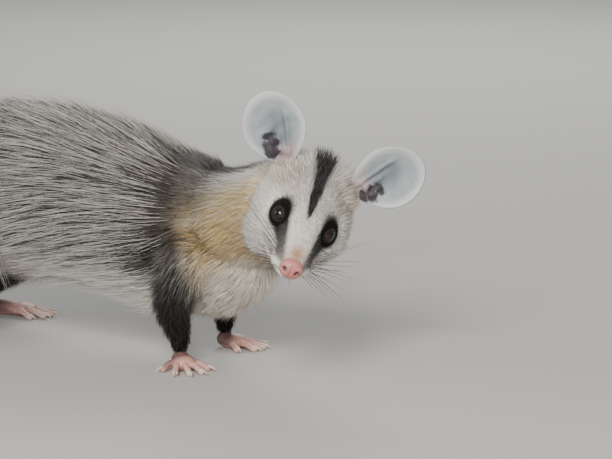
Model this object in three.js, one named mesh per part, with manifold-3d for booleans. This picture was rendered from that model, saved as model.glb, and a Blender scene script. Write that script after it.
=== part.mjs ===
// A white-eared opossum, life size, standing on all fours with its face turned to one side.
// Millimetres, +Z up. +X runs forward along the body, +Y to the animal's left, and the floor is at z = 0.
import * as THREE from "three";
import { mergeVertices } from "three/addons/utils/BufferGeometryUtils.js";
import Module from "manifold-3d";

const wasm = await Module();
wasm.setup();

// Driving dimensions
const GAP = 0.3; // left between neighbouring parts
const WELD = 1e-4; // vertices closer than this are one
const FINENESS = 0.08; // edges shorter than this are drawn together in a finished part
const EYE_MIDPOINT = [202, -42, 104]; // between the two eyeballs
const EYE_SPREAD = 14.4; // each eyeball's centre to the middle of the head
const EYE_RADIUS = 6.2;
const EAR_LENGTH = 48.5;
const EAR_WIDTH = 39;
const EAR_THICKNESS = 1.3;
const VIEWER = { azimuth: 32, elevation: 10 }; // where the animal looks, in degrees round the body
const HEAD_TURN = { roll: -23.5, yaw: 6, pitch: 22 }; // of the face, from straight at the viewer

// The trunk of the body, from rump to chest: place along x, its back, its underside and its half width.
const TORSO = [
  [-131, 101, 99, 0.1, 0],
  [-126, 117, 82, 17, 0],
  [-110, 136, 61, 33, 0],
  [-82, 150, 47, 44, 0],
  [-45, 157, 41, 49, 0],
  [-5, 156, 39, 49, 0],
  [35, 149, 36, 46, 0],
  [70, 139, 30, 42, 0],
  [98, 132, 25, 38, 0],
  [119, 126, 28, 32, 0],
  [133, 116, 44, 23, 0],
  [139, 88, 86, 0.1, 0],
];

// The neck, from inside the chest to inside the skull: middle, half height up, half height down, half width.
const NECK = [
  { at: [92, 0, 88], up: 0.1, down: 0.1, half: 0.1 },
  { at: [102, 0, 88], up: 30, down: 34, half: 25 },
  { at: [122, 0, 92], up: 34, down: 37, half: 30 },
  { at: [142, 0, 98], up: 31, down: 35, half: 29 },
  { at: [160, 1, 104], up: 30, down: 32, half: 28 },
  { at: [175, 2, 109], up: 29, down: 28, half: 26 },
  { at: [184, -6, 109], up: 27, down: 23, half: 22 },
  { at: [192, -18, 107], up: 20, down: 14, half: 14 },
  { at: [196, -25, 106], up: 0.1, down: 0.1, half: 0.1 },
];

// The skull and muzzle in the head's own frame. Its origin lies between the eyes and its x runs to the nose.
const SKULL = [
  { at: [46.5, 0, -13], up: 0.1, down: 0.1, half: 0.1 },
  { at: [45.5, 0, -13.5], up: 4.4, down: 4.2, half: 5.4 },
  { at: [40, 0, -14], up: 7.4, down: 6.4, half: 8.4 },
  { at: [32, 0, -14], up: 10.6, down: 8.5, half: 11.4 },
  { at: [22, 0, -13], up: 14.6, down: 11, half: 14.4 },
  { at: [11, 0, -12], up: 19.5, down: 15, half: 19 },
  { at: [0, 0, -11], up: 24.5, down: 20, half: 25 },
  { at: [-12, 0, -10], up: 29, down: 23, half: 30.5 },
  { at: [-25, 0, -8], up: 33, down: 24, half: 33 },
  { at: [-38, 0, -7], up: 37, down: 22, half: 32 },
  { at: [-48, 0, -6], up: 38, down: 18, half: 27 },
  { at: [-56, 0, -5], up: 29, down: 12, half: 18 },
  { at: [-60, 0, -5], up: 0.1, down: 0.1, half: 0.1 },
];
const JAW = [
  { at: [38, 0, -22.4], up: 0.1, down: 0.1, half: 0.1 },
  { at: [37, 0, -22.2], up: 1.6, down: 2.2, half: 4 },
  { at: [30, 0, -22], up: 2.5, down: 5.2, half: 8.6 },
  { at: [20, 0, -22], up: 4, down: 7.6, half: 13 },
  { at: [8, 0, -21], up: 6, down: 12, half: 19 },
  { at: [-6, 0, -18], up: 8, down: 18, half: 26 },
  { at: [-20, 0, -16], up: 8, down: 18, half: 26 },
  { at: [-32, 0, -15], up: 0.1, down: 0.1, half: 0.1 },
];
const MUZZLE_FRONT = 42.6; // where the nose pad begins
const NOSE = { at: [44.6, 0, -12.9], radii: [5, 6.9, 5.9] };
const NOSTRIL = { at: [49, 4, -13.6], radii: [3.4, 1.5, 1.7] };
const MOUTH = [
  [44, -20.2],
  [36, -20.4],
  [26, -21.4],
  [14, -21.6],
  [7, -20.6],
]; // the line of the lips, from under the nose to the corner
const LIP_GAP = 0.8;
// The left cheek is stretched by the turn of the head, and the right one bulges.
const CHEEKS = [
  { at: [-12, 13, -16], radii: [20, 15.5, 15] },
  { at: [-12, -15.5, -20], radii: [20, 17.5, 19] },
];

// The coat's locks. A row stands at share u of a body's length and fills the angles from one to the other.
const LOCK_STEPS = 3;
const LOCK_SINK = 4; // how deep a lock is rooted
const LOCK_THICKNESS = 1.7; // half of it, at the root
const TORSO_ROWS = 7;
const TORSO_AROUND = 11;
const NECK_ROWS = [
  { u: 0.74, way: -1, from: -90, to: 270, count: 9, length: 36, width: 27, rise: 7, droop: 0 },
  { u: 0.52, way: -1, from: -90, to: 270, count: 9, length: 36, width: 27, rise: 7, droop: 0 },
];
const RUFF_ROWS = [
  { u: 0.43, way: 1, from: -80, to: -20, count: 3, length: 25, width: 20, rise: 9, droop: 0 },
  { u: 0.56, way: 1, from: -80, to: -20, count: 3, length: 27, width: 22, rise: 9.5, droop: 0 },
  { u: 0.43, way: 1, from: 200, to: 260, count: 3, length: 25, width: 20, rise: 6, droop: 0 },
  { u: 0.56, way: 1, from: 200, to: 260, count: 3, length: 27, width: 22, rise: 6.5, droop: 0 },
];
const FORELEG_ROWS = [
  { u: 0.3, way: 1, from: -80, to: 80, count: 3, length: 28, width: 22, rise: 4, droop: 0 },
];
const HINDLEG_ROWS = [
  { u: 0.2, way: 1, from: -75, to: 75, count: 3, length: 38, width: 31, rise: 9, droop: 0 },
  { u: 0.42, way: 1, from: -75, to: 75, count: 3, length: 36, width: 29, rise: 9, droop: 0 },
];
const TAIL_ROWS = [
  { u: 0.1, way: 1, from: 0, to: 360, count: 5, length: 34, width: 20, rise: 4.5, droop: 0 },
  { u: 0.17, way: 1, from: 0, to: 360, count: 5, length: 34, width: 20, rise: 4.5, droop: 0 },
];

// One foreleg and one hindleg, given for the left side. The right one mirrors them and is stepped along x.
const FORELEG = [
  { at: [104, 20, 92], up: 0.1, down: 0.1, half: 0.1 },
  { at: [103, 24, 84], up: 15, down: 15, half: 9 },
  { at: [102, 29, 66], up: 17, down: 18, half: 13 },
  { at: [97, 33, 48], up: 13, down: 14, half: 12.5 },
  { at: [96, 34, 32], up: 10.5, down: 10.5, half: 10 },
  { at: [97, 33, 19], up: 8, down: 7.5, half: 8 },
  { at: [97, 33, 12], up: 6.4, down: 5.6, half: 6.6 },
  { at: [97, 33, 7], up: 0.1, down: 0.1, half: 0.1 },
];
const HINDLEG = [
  { at: [-88, 16, 112], up: 0.1, down: 0.1, half: 0.1 },
  { at: [-84, 24, 104], up: 24, down: 22, half: 12 },
  { at: [-74, 36, 82], up: 33, down: 27, half: 17 },
  { at: [-66, 42, 58], up: 27, down: 23, half: 16 },
  { at: [-78, 43, 38], up: 16, down: 16, half: 12 },
  { at: [-93, 42, 22], up: 9.5, down: 9.5, half: 9 },
  { at: [-99, 42, 12], up: 7, down: 7, half: 7 },
  { at: [-100, 42, 6], up: 0.1, down: 0.1, half: 0.1 },
];
const STEP = { foreRight: 7, foreLeft: -4, hindRight: 9, hindLeft: -9 }; // how far each foot is set forward

// Each hand and foot in its own frame: x runs to the middle toe, y to the left, and the wrist is the origin.
const HAND_TOES = [
  { root: [6, -6.5], angle: -62, length: 10 },
  { root: [12, -5.5], angle: -24, length: 14 },
  { root: [14, -1.5], angle: -4, length: 15.5 },
  { root: [13, 3], angle: 14, length: 14.5 },
  { root: [9, 6.5], angle: 40, length: 11.5 },
];
const FOOT_TOES = [
  { root: [15, -7], angle: -72, length: 14, thumb: true },
  { root: [31, -5.5], angle: -16, length: 15 },
  { root: [33, -1.5], angle: -3, length: 17 },
  { root: [32, 3], angle: 9, length: 16.5 },
  { root: [28, 7], angle: 24, length: 14.5 },
];
const TOE_RADIUS = 2.3;
const CLAW_LENGTH = 5.5;

// The tail's middle line from the rump to the tip, with its radius. The part from the floor on lies flat.
const TAIL = [
  { at: [-112, 0, 104], radius: 0.1 },
  { at: [-118, 0, 104], radius: 13.5 },
  { at: [-136, 0, 101], radius: 13 },
  { at: [-160, 2, 86], radius: 11 },
  { at: [-183, 5, 62], radius: 9.2 },
  { at: [-206, 10, 34], radius: 7.8 },
  { at: [-232, 16, 13], radius: 6.8 },
  { at: [-264, 22, 5.8], radius: 6.1 },
  { at: [-300, 22, 5.2], radius: 5.5 },
  { at: [-334, 11, 4.6], radius: 4.9 },
  { at: [-358, -13, 4], radius: 4.3 },
  { at: [-363, -44, 3.4], radius: 3.7 },
  { at: [-346, -69, 2.9], radius: 3.2 },
  { at: [-318, -78, 2.4], radius: 2.6 },
  { at: [-300, -74, 2.1], radius: 1.8 },
  { at: [-297, -72.5, 2], radius: 0.1 },
];
const TAIL_CUTS = [0.34, 0.62]; // where the furred base and the bare middle end, as shares of the stations

// Colours and finishes
const finish = (color, roughness) => new THREE.MeshStandardMaterial({ color, roughness, metalness: 0 });
const FUR_PALE = finish(0xb9b4a4, 0.9);
const FUR_GREY = finish(0x6b6863, 0.9);
const FUR_YELLOW = finish(0xb79a5c, 0.9);
const FUR_BLACK = finish(0x221e21, 0.85);
const EAR_SKIN = finish(0xa9b0b0, 0.6);
const NOSE_SKIN = finish(0xc08279, 0.45);
const TOE_SKIN = finish(0xcfa69b, 0.55);
const TAIL_DARK = finish(0x2c282a, 0.6);
const TAIL_PALE = finish(0xc9b3a8, 0.6);
const EYE_GLOSS = finish(0x120c0e, 0.08);

const Z_AXIS = new THREE.Vector3(0, 0, 1);
const X_AXIS = new THREE.Vector3(1, 0, 0);

// Solids

function manifoldOf(positions, triangles) {
  return new wasm.Manifold(new wasm.Mesh({ numProp: 3, vertProperties: positions, triVerts: triangles }));
}

// The closed solid of a geometry, turned face out if its shape came out inside out, and swollen by a lift.
function solidOf(geometry, lift = 0) {
  geometry.deleteAttribute("normal");
  geometry.deleteAttribute("uv");
  const merged = mergeVertices(geometry, WELD);
  const corners = merged.index.array;
  const points = merged.attributes.position.array;
  if (manifoldOf(points, new Uint32Array(corners)).volume() < 0) {
    for (let i = 0; i < corners.length; i += 3) {
      [corners[i + 1], corners[i + 2]] = [corners[i + 2], corners[i + 1]];
    }
  }
  if (lift > 0) swell(merged, lift);
  return manifoldOf(points, new Uint32Array(corners));
}

// Moves every corner outward along the mean of its faces, a fifth further so that the faces move enough too.
function swell(geometry, lift) {
  geometry.computeVertexNormals();
  const { position, normal } = geometry.attributes;
  for (let i = 0; i < position.count; i++) {
    const outward = new THREE.Vector3().fromBufferAttribute(normal, i);
    const moved = new THREE.Vector3().fromBufferAttribute(position, i).addScaledVector(outward, lift * 1.2);
    position.setXYZ(i, moved.x, moved.y, moved.z);
  }
}

const joined = (solids) => solids.reduce((sum, solid) => sum.add(solid));
const cutBy = (solid, cutters) => cutters.reduce((left, cutter) => left.subtract(cutter), solid);

const largest = (solid) => solid.decompose().sort((a, b) => b.volume() - a.volume())[0];
const largestPiece = (solid) => largest(largest(solid).asOriginal().simplify(FINENESS));

// A curved body through stations, drawn as a sphere whose rings are set along the middle line.
class Limb {
  constructor(stations, reference, waist = () => 1) {
    this.middle = new THREE.CatmullRomCurve3(stations.map((s) => new THREE.Vector3(...s.at)));
    this.sizes = new THREE.CatmullRomCurve3(stations.map((s) => new THREE.Vector3(s.up, s.down, s.half)));
    this.reference = reference;
    this.waist = waist;
  }

  // The point of the surface at share s of the way along and angle a round the body.
  point(s, a) {
    const size = this.sizes.getPoint(s);
    const tangent = this.middle.getTangent(s);
    const up = this.reference.clone().addScaledVector(tangent, -this.reference.dot(tangent)).normalize();
    const side = up.clone().cross(tangent);
    const across = Math.max(size.z, 0) * this.waist(s, Math.sin(a));
    const along = Math.max(Math.sin(a) > 0 ? size.x : size.y, 0);
    return this.middle
      .getPoint(s)
      .addScaledVector(side, across * Math.cos(a))
      .addScaledVector(up, along * Math.sin(a));
  }

  // The way out of the body at share s and angle a.
  outward(s, a) {
    const size = this.sizes.getPoint(s);
    const tangent = this.middle.getTangent(s);
    const up = this.reference.clone().addScaledVector(tangent, -this.reference.dot(tangent)).normalize();
    const side = up.clone().cross(tangent);
    const height = Math.max(Math.sin(a) > 0 ? size.x : size.y, 1);
    side.multiplyScalar(Math.cos(a) / Math.max(size.z, 1));
    return side.addScaledVector(up, Math.sin(a) / height).normalize();
  }

  solid(sides, rings, lift = 0) {
    const geometry = new THREE.SphereGeometry(1, sides, rings);
    const { position, uv } = geometry.attributes;
    for (let i = 0; i < position.count; i++) {
      const s = 1 - uv.getY(i);
      const atEnd = s < WELD || s > 1 - WELD;
      const p = atEnd ? this.middle.getPoint(s) : this.point(s, uv.getX(i) * 2 * Math.PI);
      position.setXYZ(i, p.x, p.y, p.z);
    }
    return solidOf(geometry, lift);
  }
}

function ellipsoid({ at, radii }, lift = 0, sides = 16, rings = 10) {
  const geometry = new THREE.SphereGeometry(1, sides, rings);
  geometry.rotateX(Math.PI / 2);
  geometry.scale(...radii);
  geometry.translate(...at);
  return solidOf(geometry, lift);
}

// A flat tapered lock of hair. It leaves a body at share u of its length and angle a, its root sunk in, and
// lies along it with its tip risen. way is 1 towards the body's last station and -1 towards its first.
function lockOn(body, { u, a, way, length, width, rise, droop }, lift) {
  const reach = length / body.middle.getLength();
  const along = (t) => body.middle.getUtoTmapping(THREE.MathUtils.clamp(u + way * reach * t, 0.015, 0.985));
  const stations = [];
  for (let i = -1; i <= LOCK_STEPS; i++) {
    const t = Math.max(i, 0) / LOCK_STEPS;
    const s = along(t);
    const angle = a - droop * Math.cos(a) * t;
    const height = (rise + LOCK_SINK) * Math.sin(1.9 * t) - LOCK_SINK - (i < 0 ? 1 : 0);
    const at = body.point(s, angle).addScaledVector(body.outward(s, angle), height).toArray();
    const thin = (i < 0 ? 0 : LOCK_THICKNESS * (1 - t) ** 0.8) + 0.08 + lift;
    const half = (i < 0 ? 0 : (width / 2) * (1 - t) ** 0.7 * (0.8 + 0.9 * t)) + 0.1 + lift;
    stations.push({ at, up: thin, down: thin, half });
  }
  return new Limb(stations, body.outward(along(0.5), a)).solid(4, 4);
}

// Rows of locks round a body: each row gives its place, and the arc of angles it fills.
function coatOn(body, rows, seed) {
  const random = seeded(seed);
  const places = rows.flatMap(({ u, from, to, count, ...form }, row) =>
    Array.from({ length: count }, (_, i) => {
      const share = (i + 0.5 * (row % 2) + 0.3 * (random() - 0.5)) / count;
      return {
        ...form,
        u: u + 0.012 * (random() - 0.5),
        a: THREE.MathUtils.degToRad(from + (to - from) * share),
        length: form.length * (0.88 + 0.24 * random()),
        rise: form.rise * (0.8 + 0.4 * random()),
      };
    }),
  );
  return (lift) => joined(places.map((place) => lockOn(body, place, lift)));
}

// Random numbers from 0 to 1, the same on every run.
function seeded(seed) {
  let state = seed;
  return () => {
    state = (state * 16807) % 2147483647;
    return state / 2147483647;
  };
}

const mirroredAt = (shape) => ({ ...shape, at: [shape.at[0], -shape.at[1], shape.at[2]] });

function block(low, high) {
  const size = high.map((h, i) => h - low[i]);
  const geometry = new THREE.BoxGeometry(...size);
  geometry.translate(...low.map((l, i) => l + size[i] / 2));
  return solidOf(geometry);
}

// Places

// The head's frame: its face looks at the viewer, then is rolled, yawed and pitched by the named turns.
function headMatrix() {
  const azimuth = THREE.MathUtils.degToRad(VIEWER.azimuth);
  const elevation = THREE.MathUtils.degToRad(VIEWER.elevation);
  const level = Math.cos(elevation);
  const toViewer = new THREE.Vector3(
    Math.sin(azimuth) * level,
    -Math.cos(azimuth) * level,
    Math.sin(elevation),
  );
  const left = new THREE.Vector3(Math.cos(azimuth), Math.sin(azimuth), 0);
  const facing = new THREE.Matrix4().makeBasis(toViewer, left, toViewer.clone().cross(left));
  const radians = THREE.MathUtils.degToRad;
  const turn = (axis, degrees) => new THREE.Matrix4().makeRotationAxis(axis, radians(degrees));
  return new THREE.Matrix4()
    .makeTranslation(...EYE_MIDPOINT)
    .multiply(facing)
    .multiply(turn(X_AXIS, HEAD_TURN.roll))
    .multiply(turn(Z_AXIS, HEAD_TURN.yaw))
    .multiply(turn(new THREE.Vector3(0, 1, 0), HEAD_TURN.pitch));
}

const HEAD_PLACE = headMatrix();
const inBody = (solid) => solid.transform(HEAD_PLACE.elements);

// The head

// The face is drawn in at the height of the eyes, between the brow and the cheeks.
function eyeWaist(s, height) {
  const nearEyes = Math.exp(-(((s - 0.475) / 0.12) ** 2));
  return height < 0 ? 1 : 1 - nearEyes * height * (1 - height);
}

const skullLimb = new Limb(SKULL, Z_AXIS, eyeWaist);
const jawLimb = new Limb(JAW, Z_AXIS);

// A thin curved slab through the muzzle that leaves the line of the mouth.
function mouthSlit() {
  const line = new THREE.SplineCurve(MOUTH.map(([x, z]) => new THREE.Vector2(x, z))).getPoints(14);
  const below = line.map((p) => new THREE.Vector2(p.x, p.y - LIP_GAP)).reverse();
  const shape = new THREE.Shape([...line, ...below]);
  const geometry = new THREE.ExtrudeGeometry(shape, { depth: 60, bevelEnabled: false });
  geometry.rotateX(Math.PI / 2);
  geometry.translate(0, 30, 0);
  return solidOf(geometry);
}

// The rims of one eye's lids, a ring that faces forward, outward and a little up.
function lids(side) {
  const ring = new THREE.TorusGeometry(EYE_RADIUS - 0.4, 1.5, 8, 20);
  const outward = new THREE.Vector3(0.7, 0.66 * side, 0.27).normalize();
  ring.scale(1.04, 0.92, 1);
  ring.applyQuaternion(new THREE.Quaternion().setFromUnitVectors(Z_AXIS, outward));
  ring.translate(outward.x * 2.6, side * EYE_SPREAD + outward.y * 2.6, outward.z * 2.6 - 1.5);
  return solidOf(ring);
}

function eyeball(side, lift) {
  return ellipsoid({ at: [0, side * EYE_SPREAD, -1.5], radii: Array(3).fill(EYE_RADIUS) }, lift, 14, 9);
}

// The head with the locks of both cheeks, which point back and out over the neck.
const ruff = coatOn(skullLimb, RUFF_ROWS, 53);

function headSolid(lift = 0) {
  const pad = { at: [30, 8, -15.6], radii: [9.5, 5.8, 6] };
  const forms = [
    skullLimb.solid(24, 22, lift),
    ruff(lift),
    jawLimb.solid(16, 10, lift),
    ellipsoid(pad, lift, 14, 8),
    ellipsoid(mirroredAt(pad), lift, 14, 8),
    ...CHEEKS.map((cheek) => ellipsoid(cheek, lift, 14, 9)),
  ];
  if (lift > 0) return joined(forms);
  const whole = joined([...forms, lids(1), lids(-1)]);
  const ahead = block([MUZZLE_FRONT, -20, -40], [60, 20, 20]);
  return cutBy(whole, [ahead, mouthSlit(), eyeball(1, GAP), eyeball(-1, GAP)]);
}

function noseSolid() {
  const groove = block([47, -0.35, -20], [54, 0.35, -9]);
  const behind = block([20, -20, -40], [MUZZLE_FRONT + GAP, 20, 20]);
  const holes = [ellipsoid(NOSTRIL, 0, 8, 6), ellipsoid(mirroredAt(NOSTRIL), 0, 8, 6)];
  return cutBy(ellipsoid(NOSE, 0, 16, 10), [...holes, groove, behind]);
}

// The ears

// A point of one ear's cup in its own frame: x across, y from root to tip, z to the hollow side.
function cupPoint(across, along) {
  const width = 1 - 0.3 * Math.max(0, -along) ** 1.5;
  const cup = 4.5 + 9 * Math.max(0, -along) ** 2;
  const x = (EAR_WIDTH / 2) * across * width;
  const y = (EAR_LENGTH / 2) * (1 + along);
  const z = cup * across * across * width + 3 * along * along;
  return new THREE.Vector3(x, y, z);
}

// A dish of even thickness, turned on a lathe and bent to the cup, both faces split into triangles alike.
function earSolid(side) {
  const rings = 6;
  const turns = 24;
  const shares = Array.from({ length: rings + 1 }, (_, i) => i / rings);
  const profile = [...shares.map((r) => [r, 0]), ...shares.slice(0, -1).reverse().map((r) => [r, 1])];
  const dish = new THREE.LatheGeometry(profile.map(([r, z]) => new THREE.Vector2(r, z)), turns);
  const position = dish.attributes.position;
  for (let i = 0; i < position.count; i++) {
    const across = position.getX(i);
    const along = position.getZ(i);
    const p = cupPoint(across, along);
    const reach = Math.hypot(across, along);
    const thick = (EAR_THICKNESS / 2) * (1 + 1.2 * Math.max(0, -along) ** 2) * (reach > 0.99 ? 0 : 1);
    const dx = cupPoint(across + 0.01, along).sub(cupPoint(across - 0.01, along));
    const dy = cupPoint(across, along + 0.01).sub(cupPoint(across, along - 0.01));
    const normal = dx.cross(dy).normalize();
    p.addScaledVector(normal, position.getY(i) > 0.5 ? thick : -thick);
    position.setXYZ(i, p.x, p.y, p.z);
  }
  splitAlike(dish.index, turns, profile.length);
  const root = new THREE.Vector3(-30.4, 21.2 * side, 18.5);
  const toTip = new THREE.Vector3(-0.13, 0.69 * side, 0.72).normalize();
  const hollow = new THREE.Vector3(0.93, 0.12 * side, 0.25);
  hollow.addScaledVector(toTip, -hollow.dot(toTip)).normalize();
  const across = toTip.clone().cross(hollow);
  dish.applyMatrix4(new THREE.Matrix4().makeBasis(across, toTip, hollow).setPosition(root));
  return solidOf(dish);
}

// Splits the second half of a lathe's squares along their other diagonal, as the first half mirrors them.
function splitAlike(index, turns, points) {
  const half = (points - 1) / 2;
  for (let turn = 0; turn < turns; turn++) {
    for (let row = half; row < points - 1; row++) {
      const a = row + turn * points;
      const corners = [a, a + points, a + points + 1, a + 1];
      const order = [corners[0], corners[1], corners[3], corners[2], corners[3], corners[1]];
      const other = [corners[0], corners[1], corners[2], corners[0], corners[2], corners[3]];
      const start = 6 * (turn * (points - 1) + row);
      const sameWay = index.getX(start + 1) === order[1];
      for (let k = 0; k < 6; k++) index.setX(start + k, sameWay ? other[k] : order[k]);
    }
  }
}

// The torso and neck

const torsoLimb = new Limb(
  TORSO.map(([x, back, under, half, y]) => {
    const middle = back * 0.45 + under * 0.55;
    return { at: [x, y, middle], up: back - middle, down: middle - under, half };
  }),
  Z_AXIS,
);
const neckLimb = new Limb(NECK, Z_AXIS);

// Rows of locks from the chest back to the rump, each set round the whole trunk.
function torsoRows() {
  const rows = [];
  for (let i = 0; i < TORSO_ROWS; i++) {
    const u = 0.965 - (i * 0.86) / (TORSO_ROWS - 1);
    const narrow = Math.min(1, 0.55 + 1.5 * Math.min(u, 1 - u));
    const common = { u, way: -1, length: 48, width: 31 * narrow };
    rows.push({ ...common, from: -35, to: 215, count: TORSO_AROUND - 3, rise: 8, droop: 0.12 });
    const belly = { from: 218, to: 322, count: 3, rise: 6, droop: 0, length: 34, width: 34 * narrow };
    rows.push({ ...common, ...belly });
  }
  return rows;
}

const torsoCoat = coatOn(torsoLimb, torsoRows(), 11);
const torsoCore = (lift) => torsoLimb.solid(20, 16, lift);
const neckCoat = coatOn(neckLimb, NECK_ROWS, 23);
const furredNeck = (lift) => neckLimb.solid(18, 12, lift).add(neckCoat(lift));

// Legs and feet

const mirroredStations = (stations) => stations.map(mirroredAt);

// A leg whose foot is stepped forward, the shoulder or hip staying in place.
function steppedLeg(stations, side, step) {
  const sided = side > 0 ? stations : mirroredStations(stations);
  const floorShare = (z) => THREE.MathUtils.clamp(1 - z / 90, 0, 1);
  return new Limb(
    sided.map((s) => ({ ...s, at: [s.at[0] + step * floorShare(s.at[2]), s.at[1], s.at[2]] })),
    X_AXIS,
  );
}

// One toe with its pads and claw, along its own direction on the floor.
function toeSolids({ root, angle, length, thumb }, side) {
  const turn = THREE.MathUtils.degToRad(angle) * -side;
  const out = (reach, z) => [
    root[0] + Math.cos(turn) * reach,
    -side * root[1] + Math.sin(turn) * reach,
    z,
  ];
  const r = thumb ? TOE_RADIUS * 1.15 : TOE_RADIUS;
  const section = (reach, z, radius) => ({ at: out(reach, z), up: radius, down: radius, half: radius });
  const toe = new Limb(
    [
      section(-5, 3.4, 0.1),
      section(-4, 3.4, r),
      section(length * 0.3, 4.2, r * 0.95),
      section(length * 0.6, 3.2, r * 0.85),
      section(length * 0.85, 2, r * 1.02),
      section(length + 0.6, 1.9, r * 0.75),
      section(length + 1.4, 1.9, 0.1),
    ],
    Z_AXIS,
  ).solid(5, 6);
  if (thumb) return [toe];
  const claw = new Limb(
    [
      section(length - 2, 2.6, 0.1),
      section(length - 1.4, 2.6, 1.2),
      section(length + CLAW_LENGTH * 0.4, 2.8, 0.9),
      section(length + CLAW_LENGTH * 0.75, 1.9, 0.5),
      section(length + CLAW_LENGTH, 0.7, 0.1),
    ],
    Z_AXIS,
  ).solid(4, 4);
  return [toe, claw];
}

// A hand or foot resting on flats at the floor, heading the way its middle toe points.
function pawSolid({ toes, palm, at, heading, side }) {
  const forms = [...palm.map((p) => ellipsoid(p, 0, 8, 5)), ...toes.flatMap((toe) => toeSolids(toe, side))];
  const place = new THREE.Matrix4()
    .makeTranslation(at[0], at[1], 0)
    .multiply(new THREE.Matrix4().makeRotationZ(THREE.MathUtils.degToRad(heading)));
  const below = block([-40, -60, -20], [80, 60, 0]);
  return joined(forms).subtract(below).transform(place.elements);
}

const HAND_PALM = [
  { at: [1, 0, 6], radii: [8, 6.2, 5.6] },
  { at: [8, 0, 4.6], radii: [10, 8, 5] },
];
const FOOT_PALM = [
  { at: [1, 0, 5.6], radii: [9, 6.2, 6.4] },
  { at: [14, 0, 4.6], radii: [18, 7, 5.2] },
  { at: [27, 0.4, 4.4], radii: [10, 9, 4.6] },
];

// The tail

const tailLimb = new Limb(
  TAIL.map(({ at, radius }) => ({ at, up: radius, down: radius, half: radius })),
  new THREE.Vector3(0.3, 0, 1).normalize(),
);

const tailCoat = coatOn(tailLimb, TAIL_ROWS, 61);
const furredTail = (lift) => tailLimb.solid(9, 34, lift).add(tailCoat(lift));

// A thin slab across the tail at share s, which parts one length from the next.
function tailCut(s) {
  const slab = new THREE.BoxGeometry(60, 60, GAP);
  const facing = new THREE.Quaternion().setFromUnitVectors(Z_AXIS, tailLimb.middle.getTangent(s));
  slab.applyQuaternion(facing);
  slab.translate(...tailLimb.middle.getPoint(s).toArray());
  return solidOf(slab);
}

// Putting the animal together

const animal = new THREE.Group();

function addPart(name, solid, material) {
  const mesh = largestPiece(solid).getMesh();
  const geometry = new THREE.BufferGeometry();
  geometry.setAttribute("position", new THREE.BufferAttribute(mesh.vertProperties, mesh.numProp));
  geometry.setIndex(new THREE.BufferAttribute(mesh.triVerts, 1));
  geometry.computeVertexNormals();
  const part = new THREE.Mesh(geometry, material);
  part.name = name;
  animal.add(part);
}

function addHead() {
  addPart("head", inBody(headSolid()), FUR_PALE);
  addPart("nose", inBody(noseSolid()), NOSE_SKIN);
  const around = headSolid(GAP);
  for (const [name, side] of [["right", -1], ["left", 1]]) {
    addPart("ear_" + name, inBody(earSolid(side).subtract(around)), EAR_SKIN);
    addPart("eye_" + name, inBody(eyeball(side, 0)), EYE_GLOSS);
  }
}

// One leg's core and locks, cut clear of the trunk.
function legBody({ stations, side, step, sides, rows, seed }) {
  const limb = steppedLeg(stations, side, step);
  const outer = side > 0 ? rows : rows.map((r) => ({ ...r, from: 180 - r.from, to: 180 - r.to }));
  return { limb, coat: coatOn(limb, outer, seed), core: (lift) => limb.solid(sides, 12, lift) };
}

const sidesOf = [["right", -1], ["left", 1]];
const legs = sidesOf.flatMap(([name, side]) => [
  {
    name: "foreleg_" + name,
    foot: "forefoot_" + name,
    toes: HAND_TOES,
    palm: HAND_PALM,
    at: [96 + (side > 0 ? STEP.foreLeft : STEP.foreRight), side * 33],
    heading: side > 0 ? 8 : -38,
    side,
    ...legBody({
      stations: FORELEG,
      side,
      step: side > 0 ? STEP.foreLeft : STEP.foreRight,
      sides: 12,
      rows: FORELEG_ROWS,
      seed: 31 + side,
    }),
  },
  {
    name: "hindleg_" + name,
    foot: "hindfoot_" + name,
    toes: FOOT_TOES,
    palm: FOOT_PALM,
    at: [-99 + (side > 0 ? STEP.hindLeft : STEP.hindRight), side * 42],
    heading: side * 9,
    side,
    ...legBody({
      stations: HINDLEG,
      side,
      step: side > 0 ? STEP.hindLeft : STEP.hindRight,
      sides: 14,
      rows: HINDLEG_ROWS,
      seed: 41 + side,
    }),
  },
]);

function addBody() {
  const headAround = inBody(headSolid(GAP));
  const torsoAround = torsoCore(GAP);
  const neck = cutBy(furredNeck(0), [torsoAround, headAround]);
  const around = [headAround, furredNeck(GAP), furredTail(GAP)];
  for (const leg of legs) {
    addPart(leg.name, leg.core(0).add(leg.coat(0)).subtract(torsoAround), FUR_BLACK);
    addPart(leg.foot, pawSolid(leg).subtract(leg.core(GAP)), TOE_SKIN);
    around.push(leg.core(GAP).add(leg.coat(GAP)));
  }
  addPart("torso", torsoCore(0).add(cutBy(torsoCoat(0), around)), FUR_GREY);
  addPart("neck", neck, FUR_YELLOW);
}

function addTail() {
  const floor = block([-500, -200, -20], [0, 200, 0]);
  const whole = cutBy(furredTail(0), [torsoCore(GAP), floor]);
  const lengths = cutBy(whole, TAIL_CUTS.map(tailCut)).decompose();
  const nearness = (solid) => solid.boundingBox().max[0];
  const inOrder = lengths.filter((l) => l.volume() > 1).sort((a, b) => nearness(b) - nearness(a));
  const names = [["tail_base", FUR_BLACK], ["tail_middle", TAIL_DARK], ["tail_tip", TAIL_PALE]];
  names.forEach(([name, material], i) => addPart(name, inOrder[i], material));
}

// Sets the origin on the floor, under the middle of the whole animal.
function centreOnFloor() {
  const box = new THREE.Box3().setFromObject(animal);
  animal.position.set(-(box.min.x + box.max.x) / 2, -(box.min.y + box.max.y) / 2, 0);
}

addHead();
addBody();
addTail();
centreOnFloor();

export default animal;
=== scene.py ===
"""A life-size white-eared opossum that stands on all fours with its head turned to look at the camera.

Sizes are in millimetres in the animal's own layout. `Layout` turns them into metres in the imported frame.
"""

import itertools
import logging
import math
from dataclasses import dataclass, field
from enum import Enum
from typing import Callable, Sequence

import bmesh
import bpy
import numpy as np
from mathutils import Matrix, Vector, kdtree

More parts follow.
